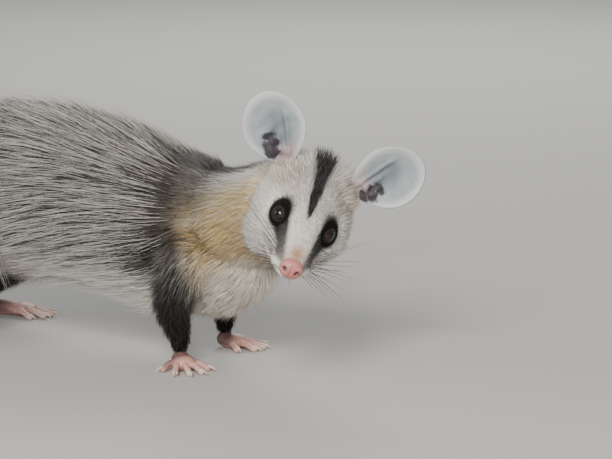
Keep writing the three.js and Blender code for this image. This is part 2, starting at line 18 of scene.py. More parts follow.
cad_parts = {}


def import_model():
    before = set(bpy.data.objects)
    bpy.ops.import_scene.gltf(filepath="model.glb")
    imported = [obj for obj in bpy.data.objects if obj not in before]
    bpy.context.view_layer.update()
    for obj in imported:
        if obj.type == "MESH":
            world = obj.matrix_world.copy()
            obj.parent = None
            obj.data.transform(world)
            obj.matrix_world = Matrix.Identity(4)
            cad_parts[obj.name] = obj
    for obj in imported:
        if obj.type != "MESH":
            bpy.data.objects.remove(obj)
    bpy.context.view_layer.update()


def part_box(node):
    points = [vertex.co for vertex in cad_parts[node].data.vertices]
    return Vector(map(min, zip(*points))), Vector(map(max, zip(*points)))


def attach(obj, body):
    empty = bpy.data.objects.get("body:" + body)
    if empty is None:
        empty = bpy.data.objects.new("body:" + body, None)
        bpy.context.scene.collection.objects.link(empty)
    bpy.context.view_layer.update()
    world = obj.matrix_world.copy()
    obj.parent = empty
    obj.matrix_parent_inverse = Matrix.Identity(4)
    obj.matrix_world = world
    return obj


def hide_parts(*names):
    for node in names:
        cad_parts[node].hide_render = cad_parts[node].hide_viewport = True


LOG = logging.getLogger("opossum")
Array = np.ndarray
BMesh = bmesh.types.BMesh
Vertices = Sequence[bmesh.types.BMVert]
Material = bpy.types.Material
Plug = bpy.types.NodeSocket
Ball = tuple[tuple[float, ...], tuple[float, ...]]  # centre and radii
MM = 0.001
Z_UP = (0.0, 0.0, 1.0)
X_AHEAD = (1.0, 0.0, 0.0)
ODD_WAY = (0.31, 0.17, 0.93)  # a direction that no toe, claw or whisker takes
IMAGE_WIDTH = 612
IMAGE_HEIGHT = 459
SENSOR_WIDTH = 36.0
VIEW_AZIMUTH = 32.0
VIEW_ELEVATION = 10.0
CAMERA_DISTANCE = 2000.0
PIXEL_SIZE = 0.61  # millimetres a pixel at the head
EYE_PIXEL = (304.5, 222.0)  # where the point between the eyes falls in the picture
EYE_POINT = np.array([202.0, -42.0, 104.0])  # that point in the animal's layout
EYE_SPREAD = 14.4
EYE_HEIGHT = -1.5
EYE_RADIUS = 6.1
EAR_ROOT = (-30.4, 21.2, 18.5)
SIDES = {-1: "right", 1: "left"}


# Numbers


def smooth(low: float | Array, high: float | Array, value: Array) -> Array:
    """Eased step.

    Args:
        low: Value where the step begins. It may lie above high, which turns the step round.
        high: Value where the step ends.
        value: Values to map.

    Returns:
        0 at low, 1 at high, eased between.
    """
    span = np.where(np.abs(np.asarray(high) - low) < 1e-9, 1e-9, np.asarray(high) - low)
    share = np.clip((value - low) / span, 0.0, 1.0)
    return share * share * (3.0 - 2.0 * share)


def unit(vectors: Array) -> Array:
    """Vectors of length one.

    Args:
        vectors: One vector, or one in each row.

    Returns:
        The same directions at length one.
    """
    length = np.linalg.norm(vectors, axis=-1, keepdims=True)
    return vectors / np.maximum(length, 1e-9)


def rotation(axis: int, degrees: float) -> Array:
    """Right-handed turn about one axis.

    Args:
        axis: 0, 1 or 2 for x, y or z.
        degrees: Size of the turn.

    Returns:
        The 3 by 3 matrix.
    """
    c, s = math.cos(math.radians(degrees)), math.sin(math.radians(degrees))
    turn = np.eye(3)
    i, j = (axis + 1) % 3, (axis + 2) % 3
    turn[i, i] = turn[j, j] = c
    turn[i, j], turn[j, i] = -s, s
    return turn


def spline(points: Array, shares: Array) -> Array:
    """Centripetal Catmull-Rom curve through points, as in the CAD source.

    Args:
        points: One station in each row.
        shares: Places along the curve, 0 at the first station and 1 at the last.

    Returns:
        One interpolated row for each share.
    """
    ends = np.vstack([2 * points[0] - points[1], points, 2 * points[-1] - points[-2]])
    place = np.clip(shares, 0.0, 1.0) * (len(points) - 1)
    first = np.minimum(place.astype(int), len(points) - 2)
    t = (place - first)[:, None]
    p0, p1, p2, p3 = (ends[first + k] for k in range(4))
    gaps = (p1 - p0, p2 - p1, p3 - p2)
    k0, k1, k2 = (np.maximum(np.sum(gap**2, axis=1, keepdims=True) ** 0.25, 1e-4) for gap in gaps)
    m1 = ((p1 - p0) / k0 - (p2 - p0) / (k0 + k1) + (p2 - p1) / k1) * k1
    m2 = ((p2 - p1) / k1 - (p3 - p1) / (k1 + k2) + (p3 - p2) / k2) * k1
    return p1 + m1 * t + (-3 * p1 + 3 * p2 - 2 * m1 - m2) * t**2 + (2 * p1 - 2 * p2 + m1 + m2) * t**3


# Places


@dataclass(frozen=True)
class HeadFrame:
    """The head's own axes: x to the nose, y to the animal's left, z to the crown, origin between the eyes.

    Attributes:
        roll: Lean of the face about the line of sight, in degrees.
        yaw: Turn away from the camera, in degrees.
        pitch: Bow of the nose, in degrees.
    """

    roll: float = -23.5
    yaw: float = 6.0
    pitch: float = 22.0

    def axes(self) -> Array:
        """Head axes as columns.

        Returns:
            The 3 by 3 matrix from the head's axes to the body's.
        """
        right, back, up = camera_axes()
        facing = np.column_stack([back, right, up])
        return facing @ rotation(0, self.roll) @ rotation(2, self.yaw) @ rotation(1, self.pitch)

    def place(self, points: Array) -> Array:
        """Head coordinates to body coordinates.

        Args:
            points: Rows of head coordinates.

        Returns:
            Rows of body coordinates.
        """
        return np.asarray(points, float) @ self.axes().T + EYE_POINT

    def local(self, points: Array) -> Array:
        """Body coordinates to head coordinates.

        Args:
            points: Rows of body coordinates.

        Returns:
            Rows of head coordinates.
        """
        return (points - EYE_POINT) @ self.axes()


def camera_axes() -> tuple[Array, Array, Array]:
    """Directions to the right of the picture, out of it and up it.

    Returns:
        The three unit vectors in body coordinates.
    """
    a, e = math.radians(VIEW_AZIMUTH), math.radians(VIEW_ELEVATION)
    right = np.array([math.cos(a), math.sin(a), 0.0])
    back = np.array([math.sin(a) * math.cos(e), -math.cos(a) * math.cos(e), math.sin(e)])
    return right, back, np.cross(back, right)


HEAD = HeadFrame()


class Layout:
    """Where the animal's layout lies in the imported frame."""

    def __init__(self) -> None:
        """Reads the offset from the CAD's right eyeball."""
        low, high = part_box("eye_right")
        planned = HEAD.place(np.array([[0.0, -EYE_SPREAD, EYE_HEIGHT]]))[0] * MM
        self.offset = np.array((low + high) / 2) - planned

    def metres(self, points: Array) -> Array:
        """Layout millimetres to frame metres.

        Args:
            points: Rows of layout coordinates.

        Returns:
            Rows of frame coordinates.
        """
        return np.asarray(points, float) * MM + self.offset


@dataclass(frozen=True)
class Socket:
    """One eye's place in the head and the opening between its lids.

    Attributes:
        side: 1 for the animal's left and -1 for its right.
        opening: Mean radius of the opening.
    """

    side: int
    opening: float = 4.3

    def centre(self) -> Array:
        """Middle of the eyeball.

        Returns:
            Head coordinates.
        """
        return np.array([0.0, self.side * EYE_SPREAD, EYE_HEIGHT])

    def axes(self) -> Array:
        """Directions out of the eye, to its front corner and up it.

        Returns:
            The three unit vectors in head axes, one in each row.
        """
        outward = unit(np.array([0.7, 0.66 * self.side, 0.27]))
        ahead = np.array([1.0, -0.35 * self.side, -0.35])
        ahead = unit(ahead - outward * (ahead @ outward))
        above = np.cross(outward, ahead)
        return np.array([outward, ahead, above * math.copysign(1.0, above[2])])

    def measure(self, local: Array) -> tuple[Array, Array, Array]:
        """Places points about the eye's axis.

        Args:
            local: Rows of head coordinates.

        Returns:
            Height along the axis, distance from it and the opening's radius on that side.
        """
        height, ahead, above = ((local - self.centre()) @ self.axes().T).T
        return height, np.hypot(ahead, above), self.rim(np.arctan2(above, ahead))

    def rim(self, turn: Array) -> Array:
        """Radius of the opening, longest at its front corner.

        Args:
            turn: Angle round the axis, 0 at the front corner and a quarter turn above.

        Returns:
            Millimetres.
        """
        return self.opening * (1.0 + 0.06 * np.cos(2 * turn) + 0.10 * np.maximum(np.cos(turn), 0) ** 8)


# Bodies drawn as sections along a middle line


def points_of(vertices: Vertices) -> Array:
    """Points of vertices, one in each row."""
    return np.array([vertex.co for vertex in vertices])


def set_points(vertices: Vertices, points: Array) -> None:
    """Moves vertices to points."""
    for vertex, point in zip(vertices, points):
        vertex.co = point


def add_sphere(mesh: BMesh, sides: int, rings: int) -> tuple[Vertices, Array]:
    """Adds a sphere of radius 1, for its vertices to be set to a shape.

    Args:
        mesh: The mesh to add to.
        sides: Faces round it.
        rings: Rows of faces from pole to pole.

    Returns:
        Its vertices and their points.
    """
    made = bmesh.ops.create_uvsphere(mesh, u_segments=sides, v_segments=rings, radius=1.0)["verts"]
    return made, points_of(made)


def polar(ball: Array) -> tuple[Array, Array]:
    """Places on a sphere.

    Args:
        ball: Points of a sphere of radius 1.

    Returns:
        Share of the way from the lower pole to the upper one, and angle round them.
    """
    shares = np.arccos(np.clip(-ball[:, 2], -1, 1)) / math.pi
    return shares, np.arctan2(ball[:, 1], ball[:, 0])


@dataclass(frozen=True)
class Loft:
    """A curved body through stations of x, y, z, height up, height down and half width.

    Attributes:
        stations: The stations' numbers, from the first end to the last.
        reference: The direction that counts as up across the sections.
        inset: How deep below the stations' sizes the skin lies, at the first end, the middle and the last.
        waist: Factor on the width from the share and the sine of the angle.
        in_head: True if the stations are in the head's axes.
    """

    stations: tuple[tuple[float, ...], ...]
    reference: tuple[float, float, float] = Z_UP
    inset: tuple[float, ...] = (0.0,)
    waist: Callable[[Array, Array], Array] | None = None
    in_head: bool = False

    def sections(self, shares: Array) -> tuple[Array, Array, Array, Array, Array]:
        """Middle line, directions and sizes.

        Args:
            shares: Places along the body from 0 to 1.

        Returns:
            Middle points, tangents, up vectors, side vectors, and the up, down and half sizes.
        """
        table = np.array(self.stations)
        middle = spline(table[:, :3], shares)
        step = 1e-3
        ahead = spline(table[:, :3], np.minimum(shares + step, 1.0))
        tangent = unit(ahead - spline(table[:, :3], np.maximum(shares - step, 0.0)))
        up = unit(np.array(self.reference) - tangent * (tangent @ np.array(self.reference))[:, None])
        sizes = np.maximum(spline(table[:, 3:6], shares), 0.05)
        depth = np.interp(shares, np.linspace(0, 1, len(self.inset)), self.inset)[:, None]
        sizes = np.maximum(sizes - depth, sizes * 0.35)
        return middle, tangent, up, np.cross(up, tangent), sizes

    def surface(self, shares: Array, angles: Array) -> Array:
        """Points of the skin.

        Args:
            shares: Places along the body.
            angles: Angles round it, 0 to the side and a quarter turn up.

        Returns:
            Points in layout coordinates.
        """
        middle, _, up, side, sizes = self.sections(shares)
        sine, cosine = np.sin(angles), np.cos(angles)
        half = sizes[:, 2] * (self.waist(shares, sine) if self.waist else 1.0)
        height = np.where(sine > 0, sizes[:, 0], sizes[:, 1])
        points = middle + side * (half * cosine)[:, None] + up * (height * sine)[:, None]
        return HEAD.place(points) if self.in_head else points

    def add_to(self, mesh: BMesh, sides: int, rings: int) -> None:
        """Adds the body to a mesh as a sphere whose rings are set along the middle line.

        Args:
            mesh: The mesh to add to, in layout millimetres.
            sides: Corners round a section.
            rings: Sections.
        """
        made, ball = add_sphere(mesh, sides, rings)
        set_points(made, self.surface(*polar(ball)))


def add_head_ball(mesh: BMesh, at: Sequence[float], radii: Sequence[float]) -> None:
    """Adds an ellipsoid along the head's axes.

    Args:
        mesh: The mesh to add to, in layout millimetres.
        at: Its centre.
        radii: Its three radii.
    """
    made, ball = add_sphere(mesh, 32, 20)
    set_points(made, HEAD.place(ball * np.array(radii) + np.array(at)))


def eye_waist(shares: Array, sine: Array) -> Array:
    """Draws the face in at the height of the eyes.

    Args:
        shares: Places along the skull from the nose to the nape.
        sine: Height round the section, -1 below to 1 above.

    Returns:
        Factor on the half width.
    """
    near_eyes = np.exp(-(((shares - 0.475) / 0.12) ** 2))
    height = np.clip(sine, 0.0, 1.0)
    return 1.0 - near_eyes * height * (1.0 - height)


TORSO_TABLE = (
    (-131, 101, 99, 0.1),
    (-126, 117, 82, 17),
    (-110, 136, 61, 33),
    (-82, 150, 47, 44),
    (-45, 157, 41, 49),
    (-5, 156, 39, 49),
    (35, 149, 36, 46),
    (70, 139, 30, 42),
    (98, 132, 25, 38),
    (119, 126, 28, 32),
    (133, 116, 44, 23),
    (139, 88, 86, 0.1),
)


def torso_stations() -> tuple[tuple[float, ...], ...]:
    """Stations of the trunk from its back, underside and half width.

    Returns:
        One station for each row of the table.
    """
    rows = []
    for x, back, under, half in TORSO_TABLE:
        middle = back * 0.45 + under * 0.55
        rows.append((x, 0, middle, back - middle, middle - under, half))
    return tuple(rows)


TORSO = Loft(torso_stations(), inset=(7, 8.5, 8.5, 8, 7))
NECK = Loft(
    (
        (92, 0, 88, 0.1, 0.1, 0.1),
        (102, 0, 88, 30, 34, 25),
        (122, 0, 92, 34, 37, 30),
        (142, 0, 98, 31, 35, 29),
        (160, 1, 104, 30, 32, 28),
        (175, 2, 109, 29, 28, 26),
        (184, -6, 109, 27, 23, 22),
        (192, -18, 107, 20, 14, 14),
        (196, -25, 106, 0.1, 0.1, 0.1),
    ),
    inset=(6, 6, 5, 4),
)
SKULL = Loft(
    (
        (46.5, 0, -13, 0.1, 0.1, 0.1),
        (45.5, 0, -13.5, 4.4, 4.2, 5.4),
        (40, 0, -14, 7.4, 6.4, 8.4),
        (32, 0, -14, 10.6, 8.5, 11.4),
        (22, 0, -13, 14.6, 11, 14.4),
        (11, 0, -12, 19.5, 15, 19),
        (0, 0, -11, 24.5, 20, 25),
        (-12, 0, -10, 29, 23, 30.5),
        (-25, 0, -8, 33, 24, 33),
        (-38, 0, -7, 37, 22, 32),
        (-48, 0, -6, 38, 18, 27),
        (-56, 0, -5, 29, 12, 18),
        (-60, 0, -5, 0.1, 0.1, 0.1),
    ),
    inset=(0.3, 0.6, 1.2, 2.4, 4.5, 5.5, 5.5),
    waist=eye_waist,
    in_head=True,
)
JAW = Loft(
    (
        (38, 0, -22.4, 0.1, 0.1, 0.1),
        (37, 0, -22.2, 1.6, 2.2, 4),
        (30, 0, -22, 2.5, 5.2, 8.6),
        (20, 0, -22, 4, 7.6, 13),
        (8, 0, -21, 6, 12, 19),
        (-6, 0, -18, 8, 18, 26),
        (-20, 0, -16, 8, 18, 26),
        (-32, 0, -15, 0.1, 0.1, 0.1),
    ),
    inset=(0.3, 0.8, 2.5, 5, 6),
    in_head=True,
)
MOUTH = ((46, -20.2), (36, -20.6), (26, -21.4), (14, -21.6), (7, -20.6), (2, -18.6))
FORELEG = (
    (104, 20, 92, 0.1, 0.1, 0.1),
    (103, 24, 84, 15, 15, 9),
    (102, 29, 66, 17, 18, 13),
    (97, 33, 48, 13, 14, 12.5),
    (96, 34, 32, 10.5, 10.5, 10),
    (97, 33, 19, 8, 7.5, 8),
    (97, 33, 12, 6.4, 5.6, 6.6),
    (97, 33, 7, 0.1, 0.1, 0.1),
)
HINDLEG = (
    (-88, 16, 112, 0.1, 0.1, 0.1),
    (-84, 24, 104, 24, 22, 12),
    (-74, 36, 82, 33, 27, 17),
    (-66, 42, 58, 27, 23, 16),
    (-78, 43, 38, 16, 16, 12),
    (-93, 42, 22, 9.5, 9.5, 9),
    (-99, 42, 12, 7, 7, 7),
    (-100, 42, 6, 0.1, 0.1, 0.1),
)
TAIL_LINE = (
    (-112, 0, 104, 0.1),
    (-118, 0, 104, 13.5),
    (-136, 0, 101, 13),
    (-160, 2, 86, 11),
    (-183, 5, 62, 9.2),
    (-206, 10, 34, 7.8),
    (-232, 16, 13, 6.8),
    (-264, 22, 5.8, 6.1),
    (-300, 22, 5.2, 5.5),
    (-334, 11, 4.6, 4.9),
    (-358, -13, 4, 4.3),
    (-363, -44, 3.4, 3.7),
    (-346, -69, 2.9, 3.2),
    (-318, -78, 2.4, 2.6),
    (-300, -74, 2.1, 1.8),
    (-297, -72.5, 2, 0.1),
)
STEPS = {("fore", -1): 7, ("fore", 1): -4, ("hind", -1): 9, ("hind", 1): -9}
HIP_HEIGHT = 90


def leg_loft(kind: str, side: int) -> Loft:
    """One leg, with its foot set forward or back of the shoulder or hip.

    Args:
        kind: "fore" or "hind".
        side: 1 for the animal's left and -1 for its right.

    Returns:
        The leg as a loft.
    """
    rows = []
    for x, y, z, up, down, half in FORELEG if kind == "fore" else HINDLEG:
        step = STEPS[kind, side] * min(max(1 - z / HIP_HEIGHT, 0), 1)
        rows.append((x + step, side * y, z, up, down, half))
    return Loft(tuple(rows), reference=X_AHEAD, inset=(3, 3.4, 2.8, 1.8, 1.0))


TAIL = Loft(
    tuple((x, y, z, r, r, r) for x, y, z, r in TAIL_LINE),
    reference=(0.287, 0.0, 0.958),
    inset=(4, 3.5, 2.6, 0.4, 0.1, 0.05, 0, 0, 0),
)


# The coat's parts and markings


class Part(Enum):
    """A region of the coat, with its body and the way its hair lies: 1 towards the body's last station."""

    HEAD = "head"
    NECK = "neck"
    TORSO = "torso"
    FORE_RIGHT = "fore_right"
    FORE_LEFT = "fore_left"
    HIND_RIGHT = "hind_right"
    HIND_LEFT = "hind_left"
    TAIL = "tail"

    @property
    def column(self) -> int:
        """Its column in a survey."""
        return list(Part).index(self)


LEGS = (Part.FORE_RIGHT, Part.FORE_LEFT, Part.HIND_RIGHT, Part.HIND_LEFT)

PART_BODIES: dict[Part, tuple[Loft, int]] = {
    Part.HEAD: (SKULL, 1),
    Part.NECK: (NECK, -1),
    Part.TORSO: (TORSO, -1),
    Part.FORE_RIGHT: (leg_loft("fore", -1), 1),
    Part.FORE_LEFT: (leg_loft("fore", 1), 1),
    Part.HIND_RIGHT: (leg_loft("hind", -1), 1),
    Part.HIND_LEFT: (leg_loft("hind", 1), 1),
    Part.TAIL: (TAIL, 1),
}


@dataclass
class Survey:
    """Where points of the skin lie on the animal.

    Attributes:
        points: The points, in layout coordinates.
        weights: How much each part counts, one column for each part.
        shares: Place along each part's body.
        angles: Angle round each part's body.
        flow: The way the hair lies, not yet laid on the skin.
    """

    points: Array
    weights: Array
    shares: Array
    angles: Array
    flow: Array

    CHUNK = 20000
    SHARPNESS = 9.0
    HEAD_LEAD = 0.12
    THICK_LEAD = 0.35

    @classmethod
    def of(cls, points: Array) -> "Survey":
        """Surveys points.

        Args:
            points: Rows of layout coordinates.

        Returns:
            The survey.
        """
        count = len(points)
        closeness = np.zeros((count, len(Part)))
        shares = np.zeros((count, len(Part)))
        angles = np.zeros((count, len(Part)))
        ways = np.zeros((count, len(Part), 3))
        grid = np.linspace(0.03, 0.97, 72)
        for column, part in enumerate(Part):
            loft, way = PART_BODIES[part]
            middle, tangent, up, side, sizes = loft.sections(grid)
            if loft.in_head:
                middle = HEAD.place(middle)
                tangent, up, side = (vectors @ HEAD.axes().T for vectors in (tangent, up, side))
            for start in range(0, count, cls.CHUNK):
                rows = slice(start, start + cls.CHUNK)
                gap = points[rows, None, :] - middle[None]
                radius = (sizes[:, 0] + sizes[:, 1] + 2 * sizes[:, 2])[None] / 4
                distance = np.linalg.norm(gap, axis=2)
                best = np.argmin(distance - cls.THICK_LEAD * radius, axis=1)
                pick = np.arange(len(best))
                near = gap[pick, best]
                angles[rows, column] = np.arctan2(np.sum(near * up[best], 1), np.sum(near * side[best], 1))
                shares[rows, column] = grid[best]
                closeness[rows, column] = distance[pick, best] / radius[0, best]
                ways[rows, column] = tangent[best] * way
        closeness[:, Part.HEAD.column] -= cls.HEAD_LEAD
        weights = np.exp(-cls.SHARPNESS * (closeness - closeness.min(axis=1, keepdims=True)))
        weights /= weights.sum(axis=1, keepdims=True)
        flow = np.einsum("np,npk->nk", weights, ways)
        return cls(points, weights, shares, angles, flow)

    def weight(self, *parts: Part) -> Array:
        """How much some parts count at each point.

        Args:
            parts: The parts.

        Returns:
            Their summed weights.
        """
        return sum(self.weights[:, part.column] for part in parts)

    def column(self, part: Part) -> tuple[Array, Array]:
        """Share and angle on one part's body.

        Args:
            part: The part.

        Returns:
            Shares along it and angles round it.
        """
        return self.shares[:, part.column], self.angles[:, part.column]


class Markings:
    """The colour markings that skin and coat share, as four weights: dark, yellow, rust and black."""

    # Places along the head and half widths
    STRIPE = ((-70, -55, -38, -25, -11, 0, 5, 9, 12), (10.0, 8.6, 6.4, 4.6, 3.5, 2.6, 1.9, 1.0, 0.0))
    # Place along the head, distance from the middle, height and half width
    STREAK = (
        (0, 16.0, 0.0, 6.6),
        (8, 14.2, -2.6, 7.0),
        (14, 13.4, -3.8, 6.4),
        (22, 12.2, -5.8, 5.2),
        (34, 10.0, -10.0, 4.2),
        (41, 7.6, -11.4, 2.6),
        (44, 6.0, -11.0, 0.0),
    )

    def of(self, survey: Survey) -> Array:
        """Markings at surveyed points.

        Args:
            survey: The points.

        Returns:
            One row of dark, yellow, rust and black for each point.
        """
        painted = (
            (self._head, (Part.HEAD,)),
            (self._neck, (Part.NECK,)),
            (self._torso, (Part.TORSO,)),
            (self._limbs, (*LEGS, Part.TAIL)),
        )
        marks = sum(paint(survey) * survey.weight(*parts)[:, None] for paint, parts in painted)
        return np.clip(marks, 0.0, 1.0)

    def _head(self, survey: Survey) -> Array:
        """Median stripe, eye masks, rusty nose bridge and yellow ear roots.

        Args:
            survey: The surveyed points.

        Returns:
            One row of dark, yellow, rust and black for each point.
        """
        x, y, z = HEAD.local(survey.points).T
        side = np.abs(y)
        half = np.interp(x, *self.STRIPE)
        stripe = smooth(half + 1.0, half - 0.8, side) * smooth(-6, 0, z) * (half > 0.05)
        table = np.array(self.STREAK).T
        across, height, reach = (np.interp(x, table[0], row) for row in table[1:])
        gap = np.hypot(side - across, z - height)
        streak = smooth(reach + 1.8, reach - 2.2, gap) * (reach > 0.05) * (x > -2)
        streak *= np.interp(x, (6, 16, 30, 44), (1.0, 0.96, 0.86, 0.66))
        eye = np.column_stack([x - 2.0, side - 16.0, z - 0.5])
        tall = eye @ unit(np.array([-0.3, 0.5, 0.8]))
        wide = np.sqrt(np.maximum(np.sum(eye**2, axis=1) - tall**2, 0))
        patch = smooth(1.25, 0.8, np.hypot(tall / 12.6, wide / 9.0))
        rust = 0.8 * np.exp(-(((x - 37) / 8) ** 2 + (y / 5.5) ** 2 + ((z + 6) / 5.5) ** 2))
        ears = np.exp(-(((x + 28) / 10) ** 2 + ((side - 26) / 9) ** 2 + ((z - 10) / 10) ** 2))
        behind = smooth(-30, -50, x) * smooth(8, 22, side)
        yellow = np.clip(0.4 * ears + 0.4 * behind, 0, 1)
        crown = smooth(2, 12, z) * smooth(8, -6, x) * smooth(5, 14, side)
        yellow = np.maximum(yellow, 0.13 * crown)
        dark = 0.10 * smooth(0, 12, z) * smooth(30, 8, x) + 0.12 * crown + 0.02
        black = np.maximum(np.maximum(stripe, patch), streak)
        return np.column_stack([dark, yellow, rust, black])

    def _neck(self, survey: Survey) -> Array:
        """Black nape, yellow sides, rusty throat and pale chest.

        Args:
            survey: The surveyed points.

        Returns:
            One row of dark, yellow, rust and black for each point.
        """
        share, angle = survey.column(Part.NECK)
        height = np.sin(angle)
        black = smooth(0.93, 0.985, height) * 0.95
        front = smooth(0.5, 0.75, share)
        yellow = (0.8 - 0.6 * front) * smooth(0.95, 0.5, height) * smooth(-1.1, -0.6, height)
        rust = 0.4 * smooth(-0.35, -0.75, height) * smooth(0.3, 0.5, share) * smooth(0.8, 0.6, share)
        dark = 0.85 * smooth(0.5, 0.2, share) * smooth(0.0, 0.6, height)
        return np.column_stack([dark, yellow * (1 - dark), rust, black])

    def _torso(self, survey: Survey) -> Array:
        """Dark back and flanks, pale belly and a yellowish front.

        Args:
            survey: The surveyed points.

        Returns:
            One row of dark, yellow, rust and black for each point.
        """
        share, angle = survey.column(Part.TORSO)
        height = np.sin(angle)
        dark = smooth(-0.92, -0.35, height)
        front = smooth(0.70, 0.83, share)
        collar = smooth(-0.7, 0.1, height) * smooth(0.7, 0.3, height)
        yellow = front * (0.12 + 0.5 * collar)
        dark = dark * (1 - 0.95 * front * smooth(0.45, -0.05, height))
        return np.column_stack([dark, yellow, 0.04 * front, 0.1 * dark])

    def _limbs(self, survey: Survey) -> Array:
        """Black legs and tail root that fade into the body's grey.

        Args:
            survey: The surveyed points.

        Returns:
            One row of dark, yellow, rust and black for each point.
        """
        columns = [part.column for part in (*LEGS, Part.TAIL)]
        weights = survey.weights[:, columns]
        share = np.sum(survey.shares[:, columns] * weights, 1) / np.maximum(weights.sum(1), 1e-6)
        black = smooth(0.12, 0.42, share)
        black = np.maximum(black, survey.weight(Part.TAIL) > 0.4)
        return np.column_stack([1 - 0.3 * black, 0 * black, 0 * black, black])


# Materials


def linear(code: str) -> tuple[float, float, float, float]:
    """Turns an sRGB hex colour into the linear colour that nodes take.

    Args:
        code: Six hex digits after a hash mark.

    Returns:
        Red, green, blue and full alpha.
    """
    parts = [int(code[i : i + 2], 16) / 255 for i in (1, 3, 5)]
    red, green, blue = (c / 12.92 if c <= 0.04045 else ((c + 0.055) / 1.055) ** 2.4 for c in parts)
    return red, green, blue, 1.0


class Shader:
    """A node material under construction."""

    def __init__(self, name: str) -> None:
        """Starts an empty material.

        Args:
            name: What the real thing is.
        """
        self.material = bpy.data.materials.new(name)
        self.material.use_nodes = True
        self.tree = self.material.node_tree
        self.tree.nodes.clear()
        self.output = self.tree.nodes.new("ShaderNodeOutputMaterial")

    def add(self, kind: str, inputs: dict | None = None, out: int | str = 0, **settings: object) -> Plug:
        """Adds a node.

        Args:
            kind: The node's type, without the words that all types start with.
            inputs: Values, or sockets to link from, by input name or number.
            out: The output that is wanted.
            settings: Attributes of the node.

        Returns:
            That output's socket.
        """
        node = self.tree.nodes.new("ShaderNode" + kind)
        for name, value in settings.items():
            setattr(node, name, value)
        for name, value in (inputs or {}).items():
            if isinstance(value, Plug):
                self.tree.links.new(value, node.inputs[name])
            else:
                node.inputs[name].default_value = value
        return node.outputs[out]

    def layers(self, colour: object, *coats: tuple[object, object], blend: str = "MIX") -> Plug:
        """Lays colours over a first one.

        Args:
            colour: The lowest colour, as a hex code, a colour or a socket.
            coats: How much of each next colour shows, as a number or socket, and that colour.
            blend: The way they mix.

        Returns:
            The last colour's socket.
        """
        for share, coat in coats:
            first, second = (linear(c) if isinstance(c, str) else c for c in (colour, coat))
            colour = self.add("Mix", {0: share, 6: first, 7: second}, 2, data_type="RGBA", blend_type=blend)
        return colour

    def marks(self, name: str) -> tuple[Plug, ...]:
        """Reads four weights that the mesh carries.

        Args:
            name: Name of its colour attribute.

        Returns:
            Sockets of red, green, blue and alpha.
        """
        colour = self.add("Attribute", out="Color", attribute_name=name)
        return (*self.add("SeparateColor", {0: colour}).node.outputs, colour.node.outputs["Alpha"])

    def grain(self, millimetres: float, detail: float = 4.0, stretch: Sequence[float] = (1, 1, 1)) -> Plug:
        """Irregular grain over the object's own coordinates.

        Args:
            millimetres: Size of one feature.
            detail: Octaves.
            stretch: How much finer it is along each axis.

        Returns:
            Its value's socket.
        """
        scale = tuple(s / (millimetres * MM) for s in stretch)
        place = self.add("Mapping", {"Vector": self.add("TexCoord", out="Object"), "Scale": scale})
        return self.add("TexNoise", {"Vector": place, "Scale": 1.0, "Detail": detail, "Roughness": 0.6})

    def cells(self, millimetres: float) -> Plug:
        """Rounded cells over the object's own coordinates.

        Args:
            millimetres: Size of one cell.

        Returns:
            The socket of the height over a cell.
        """
        place = self.add("TexCoord", out="Object")
        return self.add("TexVoronoi", {"Vector": place, "Scale": 1.0 / (millimetres * MM)}, "Distance")

    def finish(
        self,
        colour: object,
        roughness: float,
        bump: tuple[Plug, float, float] | None = None,
        **values: object,
    ) -> Material:
        """Ends the material with one surface shader.

        Args:
            colour: Base colour or socket.
            roughness: How dull it is.
            bump: Height from 0 to 1, depth of that range in millimetres, and strength.
            values: Other constant inputs, with underscores for spaces.

        Returns:
            The finished material.
        """
        inputs = {"Base Color": colour, "Roughness": roughness}
        inputs.update({name.replace("_", " "): value for name, value in values.items()})
        if bump:
            height, depth, strength = bump
            bumps = {"Height": height, "Distance": depth * MM, "Strength": strength}
            inputs["Normal"] = self.add("Bump", bumps)
        self.tree.links.new(self.add("BsdfPrincipled", inputs), self.output.inputs[0])
        return self.material


@dataclass(frozen=True)
class FurFinish:
    """Hair or the skin below it, coloured by the shared markings.

    Attributes:
        name: Name of the material.
        is_skin: True for the skin, which has no strands of its own.
        cream: Colour of the face and chest.
        under: Colour of the dark coat below the guard hair.
        yellow: Colour of the neck's sides.
        rust: Colour of the nose bridge.
        black: Colour of the stripe, the eye patches and the legs.
        guard: Colour of the long guard hair.
    """

    name: str
    is_skin: bool = False
    cream: str = "#f8f5ee"
    under: str = "#403a35"
    yellow: str = "#dfbc69"
    rust: str = "#bb7444"
    black: str = "#14100f"
    guard: str = "#e4e0d7"

    def build(self) -> Material:
        """Builds the material.

        Returns:
            The material.
        """
        shader = Shader(self.name)
        marks = shader.marks("marks")
        colour = shader.layers(self.cream, *zip(marks, (self.under, self.yellow, self.rust, self.black)))
        if self.is_skin:
            streaks = shader.grain(1.2, 5.0, (0.35, 1, 1))
            tone = shader.layers((0.62, 0.60, 0.57, 1), (streaks, (0.95, 0.94, 0.92, 1)))
            colour = shader.layers(colour, (1.0, tone), blend="MULTIPLY")
            return shader.finish(colour, 0.85, (streaks, 0.5, 0.6), Specular_IOR_Level=0.1)
        guard, tone, along, _ = shader.marks("strand")
        colour = shader.layers(colour, (guard, self.guard))
        # Tufts differ in tone, and each is darker at its root
        shade = shader.add("Math", {0: tone, 1: 0.34, 2: 0.78}, operation="MULTIPLY_ADD")
        root = shader.add("Math", {0: along, 1: 0.28, 2: 0.80}, operation="MULTIPLY_ADD")
        value = shader.add("Math", {0: shade, 1: root}, operation="MULTIPLY")
        grey = shader.add("CombineColor", {0: value, 1: value, 2: value})
        colour = shader.layers(colour, (1.0, grey), blend="MULTIPLY")
        return shader.finish(colour, 0.62, Specular_IOR_Level=0.22, Sheen_Weight=0.12, Sheen_Roughness=0.4)


